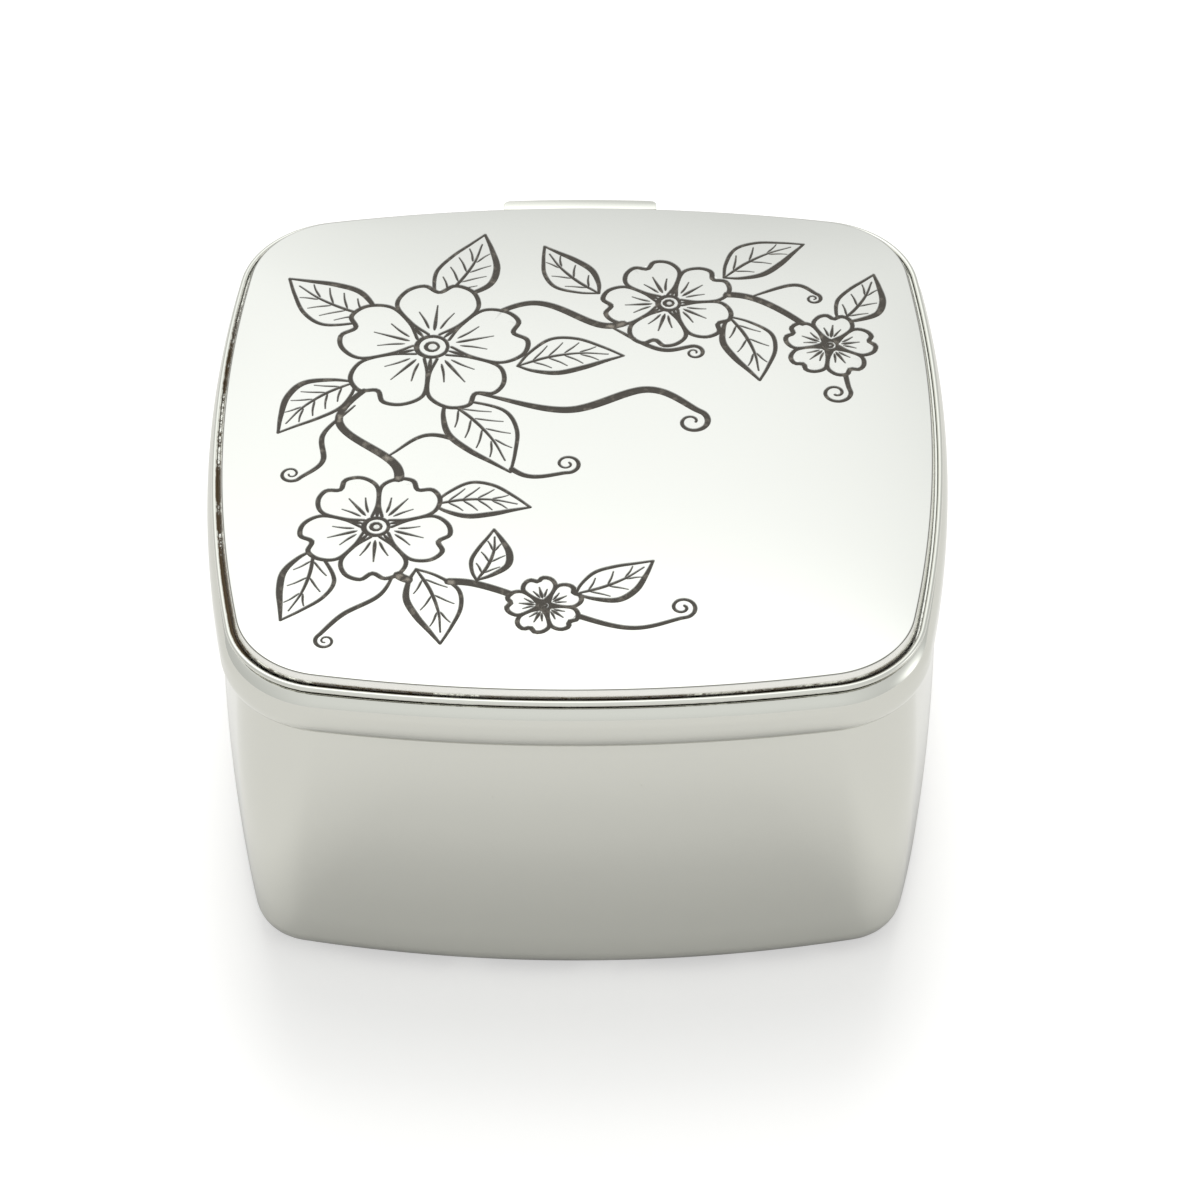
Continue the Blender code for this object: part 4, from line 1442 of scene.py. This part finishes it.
@dataclass
class Nap:
    """The pile of the velvet: short leaning tufts all over a backing's visible side."""

    tufts_per_m2: float
    facing: tuple[float, float, float]
    height: float = 0.45 * MM
    half_thickness: float = 0.1 * MM
    drift_size: float = 5.0 * MM
    drift_lean: float = 1.9
    loose_lean: float = 0.25
    sizes: tuple[float, float] = (0.7, 1.1)
    seed: int = 11

    def tree(self, velvet: Material) -> tuple[Tree, dict[str, float | tuple]]:
        """The node group that stands the tufts on a backing.

        Args:
            velvet: the finish that the group sets.

        Returns:
            The group, and the value of each of its inputs by socket identifier.
        """
        tree = bpy.data.node_groups.new("velvet_nap", "GeometryNodeTree")
        tree_input(tree, "Backing", "NodeSocketGeometry")
        values = {tree_input(tree, "Tufts per square metre", "NodeSocketFloat"): self.tufts_per_m2,
                  tree_input(tree, "Tuft height", "NodeSocketFloat"): self.height,
                  tree_input(tree, "Tuft half thickness", "NodeSocketFloat"): self.half_thickness,
                  tree_input(tree, "Facing point", "NodeSocketVector"): self.facing}
        given = add_node(tree, "NodeGroupInput").outputs
        place = add_node(tree, "GeometryNodeInputPosition").outputs["Position"]
        normal = add_node(tree, "GeometryNodeInputNormal").outputs["Normal"]
        towards = add_node(tree, "ShaderNodeVectorMath", {"operation": "SUBTRACT"},
                           {0: given["Facing point"], 1: place})
        facing = add_node(tree, "ShaderNodeVectorMath", {"operation": "DOT_PRODUCT"},
                          {0: normal, 1: towards.outputs["Vector"]})
        shown = add_node(tree, "FunctionNodeCompare", {"data_type": "FLOAT", "operation": "GREATER_THAN"},
                         {0: facing.outputs["Value"], 1: 0.0})
        roots = add_node(tree, "GeometryNodeDistributePointsOnFaces", {"distribute_method": "RANDOM"},
                         {"Mesh": given["Backing"], "Selection": shown.outputs["Result"],
                          "Density": given["Tufts per square metre"], "Seed": self.seed})
        drift = add_node(tree, "ShaderNodeTexNoise", {},
                         {"Vector": place, "Scale": 1 / self.drift_size, "Detail": 1.0})
        centred = add_node(tree, "ShaderNodeVectorMath", {"operation": "SUBTRACT"},
                           {0: drift.outputs["Color"], 1: (0.5, 0.5, 0.5)})
        swept = add_node(tree, "ShaderNodeVectorMath", {"operation": "SCALE"},
                         {0: centred.outputs["Vector"], "Scale": self.drift_lean})
        loose = add_node(tree, "FunctionNodeRandomValue", {"data_type": "FLOAT_VECTOR"},
                         {0: (-self.loose_lean,) * 3, 1: (self.loose_lean,) * 3, 8: self.seed + 1})
        lean = add_node(tree, "ShaderNodeVectorMath", {"operation": "ADD"},
                        {0: swept.outputs["Vector"], 1: loose.outputs[0]})
        tip = add_node(tree, "FunctionNodeEulerToRotation", {}, {"Euler": lean.outputs["Vector"]})
        turned = add_node(tree, "FunctionNodeRotateRotation", {"rotation_space": "LOCAL"},
                          {"Rotation": roots.outputs["Rotation"], "Rotate By": tip.outputs["Rotation"]})
        size = add_node(tree, "FunctionNodeRandomValue", {"data_type": "FLOAT"},
                        {2: self.sizes[0], 3: self.sizes[1], 8: self.seed + 2})
        tuft = add_node(tree, "GeometryNodeMeshCone", {"fill_type": "NONE"},
                        {"Vertices": 3, "Side Segments": 1, "Radius Top": 0.0,
                         "Radius Bottom": given["Tuft half thickness"], "Depth": given["Tuft height"]})
        stood = add_node(tree, "GeometryNodeInstanceOnPoints", {},
                         {"Points": roots.outputs["Points"], "Instance": tuft.outputs["Mesh"],
                          "Rotation": turned.outputs["Rotation"], "Scale": size.outputs[1]})
        both = add_node(tree, "GeometryNodeJoinGeometry", {}, {"Geometry": stood.outputs["Instances"]})
        tree.links.new(given["Backing"], both.inputs["Geometry"])
        end_group(tree, both.outputs["Geometry"], velvet, "Velvet")
        return tree, values

    def grow(self, piece: Piece, velvet: Material) -> None:
        """Stand the tufts on a backing and make the two one plain mesh.

        Args:
            piece: the backing, which gets the tufts.
            velvet: the cloth's finish.
        """
        modifier = piece.modifiers.new("velvet_nap", "NODES")
        modifier.node_group, values = self.tree(velvet)
        for identifier, value in values.items():
            modifier[identifier] = value
        apply_modifiers(piece)


@dataclass
class Lining:
    """The velvet: a strip round the walls, and a pad on the floor and in the lid, each with a short nap."""

    plan: BoxPlan
    shell: BodyShell
    soft_below: float = math.radians(70)
    strip_thickness: float = 1.2 * MM
    strip_low_z: float = 3.4 * MM
    strip_top_z: float = 35.55 * MM
    floor_z: float = 3.4 * MM
    floor_edge: float = 1.1 * MM
    floor_crown: float = 0.8 * MM
    lid_z: float = 36.35 * MM
    lid_edge: float = 0.7 * MM
    lid_crown: float = 0.5 * MM
    lid_offset: float = -3.9 * MM
    side_bulge: float = 0.35 * MM
    seat_gap: float = 0.3 * MM
    slide_gap: float = 0.1 * MM
    nap_room: float = 0.25 * MM
    strip_taper: float = 0.5
    strip_fill: float = 0.3
    strip_tufts: float = 5.5e6
    pad_fill: float = 0.6
    pad_tufts: float = 8e6
    wall_levels: int = 14
    fold_steps: int = 12
    crown_rings: int = 18

    def strip(self) -> Mesh:
        """The strip round the walls, with its top edge turned over."""
        half = (self.strip_thickness - self.nap_room) / 2
        turn_z = self.strip_top_z - half
        wall = self.shell.inner_wall
        outer = []
        for level in range(self.wall_levels + 1):
            z = self.strip_low_z + (turn_z - self.strip_low_z) * level / self.wall_levels
            outer.append((wall(z) - self.seat_gap, z))
        middle = wall(turn_z) - self.seat_gap - half
        section = outer + arc(middle, turn_z, half, 0, 180, self.fold_steps)[1:]
        for offset, z in reversed(outer[:-1]):
            lean = (offset - outer[-1][0]) * self.strip_taper
            section.append((outer[-1][0] - half * 2 + lean, z))
        return loft("wall_velvet", [self.plan.body_ring(offset, z) for offset, z in section], hollow=True)

    def pad(self, name: str, offset: float, z: float, edge: float, crown: float, faces_down: bool) -> Mesh:
        """A crowned pad whose sides draw in at both edges.

        Args:
            name: the mesh's name.
            offset: offset of its widest level.
            z: height of its flat back.
            edge: thickness at its edge.
            crown: how much higher the middle is.
            faces_down: whether it faces down, as the lid's does.

        Returns:
            The pad's closed mesh.
        """
        level = self.plan.lid_ring if faces_down else self.plan.body_ring
        turns = [math.radians(turn) for turn in range(-90, 91, 15)]
        rings = [level(offset - self.side_bulge * (1 - math.cos(turn)), z + edge / 2 * (1 + math.sin(turn)))
                 for turn in turns]
        rim = rings[-1]
        for step in range(1, self.crown_rings):
            share = 1 - step / self.crown_rings
            lift = crown * (1 - share ** 2)
            rings.append([Vector((point.x * share, point.y * share, point.z + lift)) for point in rim])
        mesh = loft(name, rings, tip=Vector((0, 0, z + edge + crown)))
        if faces_down:
            mesh.transform(Matrix.Translation((0, 0, 2 * z)) @ Matrix.Scale(-1, 4, (0, 0, 1)))
            mesh.flip_normals()
        return mesh

    def build(self, velvet: Material) -> None:
        """Make the three pieces of the lining's velvet."""
        strip_room = self.seat_gap + self.strip_thickness - self.nap_room
        strip_inside = self.shell.inner_wall(self.floor_z) - strip_room
        floor_pad = self.pad("floor_velvet", strip_inside - self.slide_gap, self.floor_z,
                             self.floor_edge - self.nap_room, self.floor_crown, False)
        lid_pad = self.pad("lid_velvet", self.lid_offset, self.lid_z, self.lid_edge - self.nap_room,
                           self.lid_crown, True)
        made = [(self.strip(), Body.BOX, "wall_lining", self.strip_fill,
                 Nap(self.strip_tufts, (0, 0, 20 * MM))),
                (floor_pad, Body.BOX, "floor_pad", self.pad_fill, Nap(self.pad_tufts, (0, 0, 60 * MM))),
                (lid_pad, Body.LID, "lid_pad", self.pad_fill, Nap(self.pad_tufts, (0, 0, -60 * MM)))]
        for mesh, body, node, fill, nap in made:
            piece = new_piece(mesh.name, mesh, velvet)
            smooth(mesh, self.soft_below)
            nap.grow(piece, velvet)
            settle(piece, body, node)


@dataclass
class FeltBase:
    """The felt sheet let into the underside, a little proud of the metal."""

    plan: BoxPlan
    offset: float = -4.6 * MM
    thickness: float = 0.6 * MM
    soft_edge: float = 0.12 * MM
    edge_steps: int = 4
    level_above: float = 0.9

    def build(self, felt: Material) -> None:
        """Cut the sheet from pressed felt."""
        inset = self.offset - self.soft_edge
        section = arc(inset, self.soft_edge, self.soft_edge, -90, 0, self.edge_steps)
        section += arc(inset, self.thickness - self.soft_edge, self.soft_edge, 0, 90, self.edge_steps)
        mesh = loft("felt_sheet", [self.plan.body_ring(offset, z) for offset, z in section])
        sheet = new_piece("felt_sheet", mesh, felt)
        smooth(mesh)
        settle(sheet, Body.BOX, "base_felt")


@dataclass
class Hinge:
    """The nested stop hinge: a lid leaf with a rear tab, a body leaf with two knuckles, and a staked pin."""

    plan: BoxPlan
    axis_y: float = 36.0 * MM
    axis_z: float = 36.5 * MM
    knuckle: float = 1.3 * MM
    bore: float = 0.8 * MM
    pin: float = 0.5 * MM
    half_width: float = 7.7 * MM
    centre_half: float = 3.7 * MM
    gap: float = 0.3 * MM
    ledge_z: float = 37.8 * MM
    rim_z: float = 38.1 * MM
    tab_front: float = 35.72 * MM
    tab_overhang: float = 1.2 * MM
    tab_top_z: float = 38.78 * MM
    tab_corner: float = 0.55 * MM
    tab_corner_turn: float = 84.0
    tab_corner_gap: float = 0.1 * MM
    tab_steps: int = 8
    tongue_reach: float = 3.0 * MM
    tongue_thickness: float = 0.8 * MM
    sill_low_z: float = 34.1 * MM
    sill_top_z: float = 34.9 * MM
    sill_overhang: float = 1.5 * MM
    leg_front: float = 1.1 * MM
    leg_back: float = 0.9 * MM
    neck_front: float = 1.3 * MM
    neck_inset: float = 0.35 * MM
    edge_soft: float = 0.09 * MM
    pin_soft: float = 0.16 * MM
    broken_above: float = math.radians(40)
    broken_steps: int = 3
    round_steps: int = 64
    drill_over: float = 1.5

    def around(self, start: float, end: float, radius: float) -> Profile:
        """Points round the pin's axis, from start to end in degrees from straight back, turning up."""
        steps = max(2, round(abs(end - start) / 360 * self.round_steps))
        return arc(self.axis_y, self.axis_z, radius, start, end, steps)

    def prism(self, name: str, section: Profile, low_x: float, high_x: float) -> Piece:
        """A bar along the hinge between two places across, whose section is given as place and height."""
        form = bmesh.new()
        ends = [[form.verts.new((x, y, z)) for y, z in section] for x in (low_x, high_x)]
        bridge(form, *ends)
        for end in ends:
            form.faces.new(end)
        bmesh.ops.recalc_face_normals(form, faces=form.faces)
        return new_piece(name, mesh_of(name, form))

    def tab(self) -> Piece:
        """The tab behind the bead, whose back edge follows the bow of the lid."""
        back = self.axis_y + self.tab_overhang
        bow, half = self.plan.lid_bow, self.plan.half
        turn_radius = ((half - bow) ** 2 + bow ** 2) / (2 * bow)
        flat = self.half_width - self.tab_corner
        side_back = back - turn_radius + math.sqrt(turn_radius ** 2 - self.half_width ** 2) - self.tab_corner
        outline = [(-self.half_width, self.tab_front), (self.half_width, self.tab_front)]
        outline += arc(flat, side_back, self.tab_corner, 0, self.tab_corner_turn, self.tab_steps)
        for step in range(2 * self.tab_steps + 1):
            x = (flat - self.tab_corner_gap) * (1 - step / self.tab_steps)
            outline.append((x, back - turn_radius + math.sqrt(turn_radius ** 2 - x ** 2)))
        outline += arc(-flat, side_back, self.tab_corner, 180 - self.tab_corner_turn, 180, self.tab_steps)
        rings = [[Vector((x, y, z)) for x, y in outline] for z in (self.rim_z, self.tab_top_z)]
        return new_piece("hinge_tab", loft("hinge_tab", rings))

    def drill(self) -> Piece:
        """The bar that cuts the pin's bore."""
        reach = self.half_width * self.drill_over
        return self.prism("bore", self.around(0, 360, self.bore)[:-1], -reach, reach)

    def finish(self, piece: Piece, soft: float, material: Material, body: Body, slot: Slot,
               node: str) -> None:
        """Break a part's sharp edges and let it ride.

        Args:
            piece: the part.
            soft: width of its broken edges.
            material: its finish.
            body: the body that carries it.
            slot: not used.
            node: the CAD node that it replaces.
        """
        broken = piece.modifiers.new("broken_edges", "BEVEL")
        broken.width = soft
        broken.segments = self.broken_steps
        broken.limit_method = "ANGLE"
        broken.angle_limit = self.broken_above
        apply_modifiers(piece)
        piece.data.materials.clear()
        piece.data.materials.append(material)
        smooth(piece.data)
        settle(piece, body, node)

    def build(self, plating: Material, steel: Material) -> None:
        """Make the two leaves and the pin.

        Args:
            plating: the leaves' finish.
            steel: the pin's finish.
        """
        tongue_z = self.ledge_z - self.tongue_thickness
        tongue_front = self.axis_y - self.tongue_reach
        neck_front = self.plan.half + self.neck_front
        neck_back = self.axis_y + self.tab_overhang - self.neck_inset
        under = math.degrees(math.asin((tongue_z - self.axis_z) / self.knuckle))
        behind = math.degrees(math.acos((neck_back - self.axis_y) / self.knuckle))
        neck_z = (self.rim_z + self.tab_top_z) / 2
        section = [(tongue_front, tongue_z)] + self.around(180 - under, 360 + behind, self.knuckle)
        section += [(neck_back, neck_z), (neck_front, neck_z), (neck_front, self.ledge_z)]
        section.append((tongue_front, self.ledge_z))
        lid_leaf = self.prism("lid_leaf", section, -self.centre_half, self.centre_half)
        combine(lid_leaf, [self.tab()], "UNION")
        combine(lid_leaf, [self.drill()])
        self.finish(lid_leaf, self.edge_soft, plating, Body.LID, Slot.HINGE, "hinge_lid_leaf")

        front = self.axis_y - self.knuckle
        back = self.axis_y + self.sill_overhang
        sill = [(front, self.sill_low_z), (back, self.sill_low_z), (back, self.sill_top_z),
                (front, self.sill_top_z)]
        body_leaf = self.prism("body_leaf", sill, -self.half_width, self.half_width)
        leg_front = math.degrees(math.acos(-self.leg_front / self.knuckle))
        leg_back = math.degrees(math.acos(self.leg_back / self.knuckle))
        foot_z = (self.sill_low_z + self.sill_top_z) / 2
        leg = [(self.axis_y - self.leg_front, foot_z), (self.axis_y + self.leg_back, foot_z)]
        leg += self.around(-leg_back, 360 - leg_front, self.knuckle)
        inner = self.centre_half + self.gap
        combine(body_leaf, [self.prism("left_knuckle", leg, -self.half_width, -inner),
                            self.prism("right_knuckle", leg, inner, self.half_width)], "UNION")
        combine(body_leaf, [self.drill()])
        self.finish(body_leaf, self.edge_soft, plating, Body.BOX, Slot.HINGE, "hinge_body_leaf")

        pin = self.prism("staked_pin", self.around(0, 360, self.pin)[:-1], -self.half_width, self.half_width)
        self.finish(pin, self.pin_soft, steel, Body.BOX, Slot.PIN, "hinge_pin")


@dataclass
class CarriedNodes:
    """CAD nodes whose shape is right: the two hidden cards get their finish."""

    names: tuple[str, ...] = ("floor_card", "lid_card")

    def dress(self, board: Material) -> None:
        """Give each carried node the cards' finish."""
        for name in self.names:
            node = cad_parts[name]
            node.data.materials.clear()
            node.data.materials.append(board)
            LOG.info("%s: CAD node kept, with the finish %s", name, board.name)


@dataclass(frozen=True)
class SkyPatch:
    """A soft bright or dim patch of sky: its place and width, in degrees, and its strength."""

    azimuth: float
    elevation: float
    width: float
    strength: float


@dataclass
class Studio:
    """White sweep, soft sky and the photograph's camera."""

    focal_px: float = 9991.0
    image_px: float = 1200.0
    unit: float = HALF_WIDTH
    distance_units: float = 28.1
    elevation: float = 43.594
    azimuth: float = 0.75
    roll: float = -0.6
    side_units: float = -0.0637
    rise_units: float = 0.4424
    aim_z: float = 39.65 * MM
    sensor: float = 36.0
    clip: tuple[float, float] = (0.01, 50.0)
    floor_half: float = 4.0
    floor_white: str = "#CBCAC8"
    floor_glow: float = 0.52
    floor_glow_in_metal: float = 0.28
    contact_reach: float = 5.0 * MM
    contact_least: float = 0.05
    sky_white: str = "#FBFDFC"
    sky_level: float = 0.7
    patches: tuple[SkyPatch, ...] = (
        SkyPatch(-23.0, 62.0, 20.0, 1.42), SkyPatch(180.0, 35.0, 40.0, 0.3), SkyPatch(19.0, 50.0, 6.0, 0.22),
        SkyPatch(-6.5, 30.0, 3.5, 0.15), SkyPatch(11.0, 31.0, 4.0, -0.12), SkyPatch(85.0, 8.0, 11.0, 1.2))
    soft_light: float = 0.5
    lamp_strength: float = 2.2
    lamp_distance: float = 1.0
    lamp_spread: float = 24.0
    lamp_elevations: tuple[float, ...] = (46.0, 60.0, 74.0)

    def camera(self) -> None:
        """Place the camera that a fit to the lid's and the body's outlines gave."""
        elevation, azimuth = math.radians(self.elevation), math.radians(self.azimuth)
        roll = math.radians(self.roll)
        level = Vector((math.cos(azimuth), math.sin(azimuth), 0))
        front = Vector((math.sin(azimuth), -math.cos(azimuth), 0))
        back = front * math.cos(elevation) + Vector((0, 0, math.sin(elevation)))
        upright = back.cross(level)
        right = level * math.cos(roll) + upright * math.sin(roll)
        rise = upright * math.cos(roll) - level * math.sin(roll)
        data = bpy.data.cameras.new("camera")
        data.sensor_width = self.sensor
        data.lens = self.focal_px / self.image_px * self.sensor
        data.clip_start, data.clip_end = self.clip
        camera = placed("camera", data)
        place = Vector((0, 0, self.aim_z)) + back * self.distance_units * self.unit
        place -= right * self.side_units * self.unit + rise * self.rise_units * self.unit
        turned = Matrix((right, rise, back)).transposed().to_4x4()
        camera.matrix_world = Matrix.Translation(place) @ turned
        bpy.context.scene.camera = camera

    def lobe(self, tree: Tree, direction: Socket, patch: SkyPatch) -> Socket:
        """Nodes for a patch of sky, as a large diffused lamp makes, which falls to 0.6 at its width.

        Args:
            tree: the world's tree.
            direction: the ray's direction.
            patch: the patch, its azimuth counted from straight back, turning right.

        Returns:
            The patch's strength for each direction.
        """
        turn, rise = math.radians(patch.azimuth), math.radians(patch.elevation)
        aim = (math.sin(turn) * math.cos(rise), math.cos(turn) * math.cos(rise), math.sin(rise))
        facing = add_node(tree, "ShaderNodeVectorMath", {"operation": "DOT_PRODUCT"}, {0: direction, 1: aim})
        sharp = 1 / math.radians(patch.width) ** 2
        fall = add_node(tree, "ShaderNodeMath", {"operation": "MULTIPLY_ADD"},
                        {0: facing.outputs["Value"], 1: sharp, 2: -sharp})
        shape = add_node(tree, "ShaderNodeMath", {"operation": "EXPONENT"}, {0: fall.outputs[0]})
        lit = add_node(tree, "ShaderNodeMath", {"operation": "MULTIPLY"},
                       {0: shape.outputs[0], 1: patch.strength})
        return lit.outputs[0]

    def world(self) -> None:
        """A soft sky, brightest behind and to the left, and plain white where the camera sees it."""
        world = bpy.data.worlds.new("studio")
        bpy.context.scene.world = world
        world.use_nodes = True
        tree = world.node_tree
        tree.nodes.clear()
        direction = add_node(tree, "ShaderNodeTexCoord").outputs["Generated"]
        total = self.sky_level
        for patch in self.patches:
            total = add_node(tree, "ShaderNodeMath", {"operation": "ADD"},
                             {0: total, 1: self.lobe(tree, direction, patch)}).outputs[0]
        tint = linear(self.sky_white)
        sky = add_node(tree, "ShaderNodeBackground", {}, {"Color": tint, "Strength": total})
        soft = add_node(tree, "ShaderNodeBackground", {}, {"Color": tint, "Strength": self.soft_light})
        plain = add_node(tree, "ShaderNodeBackground", {}, {"Color": WHITE, "Strength": 1.0})
        rays = add_node(tree, "ShaderNodeLightPath").outputs
        lit = add_node(tree, "ShaderNodeMixShader", {},
                       {0: rays["Is Diffuse Ray"], 1: sky.outputs["Background"],
                        2: soft.outputs["Background"]})
        mixed = add_node(tree, "ShaderNodeMixShader", {},
                         {0: rays["Is Camera Ray"], 1: lit.outputs["Shader"], 2: plain.outputs["Background"]})
        add_node(tree, "ShaderNodeOutputWorld", {}, {"Surface": mixed.outputs["Shader"]})

    def lamp(self) -> None:
        """A tall row of far lamps behind, which throws the box's soft shadow to the front."""
        for elevation in self.lamp_elevations:
            data = bpy.data.lights.new("back_softbox", "SUN")
            data.angle = math.radians(self.lamp_spread)
            data.energy = self.lamp_strength / len(self.lamp_elevations)
            lamp = placed("back_softbox", data)
            rise = math.radians(elevation)
            away = Vector((0, math.cos(rise), math.sin(rise)))
            turned = away.to_track_quat("Z", "Y").to_matrix().to_4x4()
            lamp.matrix_world = Matrix.Translation(away * self.lamp_distance) @ turned
            lamp.visible_glossy = False
            lamp.visible_camera = False

    def floor(self) -> None:
        """A plain white sweep that keeps the box's shadow, darkest where the box touches it; there the glow
        that the metal mirrors is also darkened by ambient occlusion, as painted shade.
        """
        material, tree, output = new_material("studio_paper")
        rays = add_node(tree, "ShaderNodeLightPath").outputs
        mirrored = add_node(tree, "ShaderNodeMath", {"operation": "MAXIMUM"},
                            {0: rays["Is Glossy Ray"], 1: rays["Is Transmission Ray"]})
        # Painted shade: ambient occlusion darkens the glow that the metal mirrors near the box.
        air = add_node(tree, "ShaderNodeAmbientOcclusion", {"samples": 8}, {"Distance": self.contact_reach})
        near = add_node(tree, "ShaderNodeMapRange", {},
                        {"Value": air.outputs["AO"], "To Min": self.contact_least,
                         "To Max": self.floor_glow_in_metal})
        in_metal = add_node(tree, "ShaderNodeMath", {"operation": "MULTIPLY"},
                            {0: mirrored.outputs[0], 1: near.outputs["Result"]})
        glow = add_node(tree, "ShaderNodeMath", {"operation": "MULTIPLY_ADD"},
                        {0: rays["Is Camera Ray"], 1: self.floor_glow, 2: in_metal.outputs[0]})
        paper = add_node(tree, "ShaderNodeBsdfDiffuse", {}, {"Color": linear(self.floor_white)})
        light = add_node(tree, "ShaderNodeEmission", {}, {"Color": WHITE, "Strength": glow.outputs[0]})
        both = add_node(tree, "ShaderNodeAddShader", {},
                        {0: paper.outputs["BSDF"], 1: light.outputs["Emission"]})
        tree.links.new(both.outputs["Shader"], output.inputs["Surface"])
        mesh = bpy.data.meshes.new("studio_floor")
        signs = ((-1, -1), (1, -1), (1, 1), (-1, 1))
        corners = [(x * self.floor_half, y * self.floor_half, 0) for x, y in signs]
        mesh.from_pydata(corners, [], [(0, 1, 2, 3)])
        new_piece("studio_floor", mesh, material)

    def build(self) -> None:
        """Set the stage and the camera, with colours shown as they are written."""
        bpy.context.scene.view_settings.view_transform = "Standard"
        self.camera()
        self.world()
        self.lamp()
        self.floor()
        LOG.info("studio: camera %.2f m away", self.distance_units * self.unit)


def main() -> None:
    """Build the box's looks in order."""
    logging.basicConfig(level=logging.INFO, format="%(name)s: %(message)s")
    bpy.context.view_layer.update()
    materials = {
        Slot.PLATING: BrightPlating("body_bright_plating").make(),
        Slot.ENGRAVED: BrightPlating("plate_bright_plating", metal="#D5D5D1", wave_depth=0.004 * MM).make(),
        Slot.HINGE: BrightPlating("hinge_bright_plating", roughness=0.12, hair_spacing=0.2 * MM).make(),
        Slot.PIN: DrawnWire().make(),
        Slot.CARD: Greyboard().make(),
        Slot.VELVET: NapCloth("cotton_velvet", deep="#10142E", tip="#2B3566", patch_size=3.5 * MM,
                              fibre_size=0.14 * MM, bump_depth=0.12 * MM, sheen=0.6,
                              sheen_tint="#8C9BD8").make(),
        Slot.FELT: NapCloth("pressed_wool_felt", deep="#0B1026", tip="#222B4E", patch_size=2.2 * MM,
                            fibre_size=0.1 * MM, bump_depth=0.06 * MM, sheen=0.25,
                            sheen_tint="#7F8BB8").make(),
    }
    plan = BoxPlan()
    shell = BodyShell(plan)
    Studio().build()
    shell.build(materials[Slot.PLATING])
    # Painted highlight: the bead gets a brighter copy of the plating.
    painted_highlight = BrightPlating("bead_burnished_plating", metal="#F0EFE9", roughness=0.09).make()
    LidFrame(plan).build(materials[Slot.PLATING], painted_highlight)
    # The plate's side: a rougher finish for the sheared edge, and a paler copy of the plating as a painted
    # pale reflection.
    sheared_painted_pale = BrightPlating("plate_edge_sheared_plating", metal="#F0EFEA", roughness=0.22).make()
    # Painted reflection: a darker copy of the plating draws the dark line round the plate's top edge.
    painted_dark_edge = BrightPlating("plate_edge_rubbed_plating", metal="#7C7971", roughness=0.3).make()
    LidPlate(plan).build(materials[Slot.ENGRAVED], sheared_painted_pale, painted_dark_edge)
    Lining(plan, shell).build(materials[Slot.VELVET])
    FeltBase(plan).build(materials[Slot.FELT])
    Hinge(plan).build(materials[Slot.HINGE], materials[Slot.PIN])
    CarriedNodes().dress(materials[Slot.CARD])


if __name__ == "__main__":
    main()
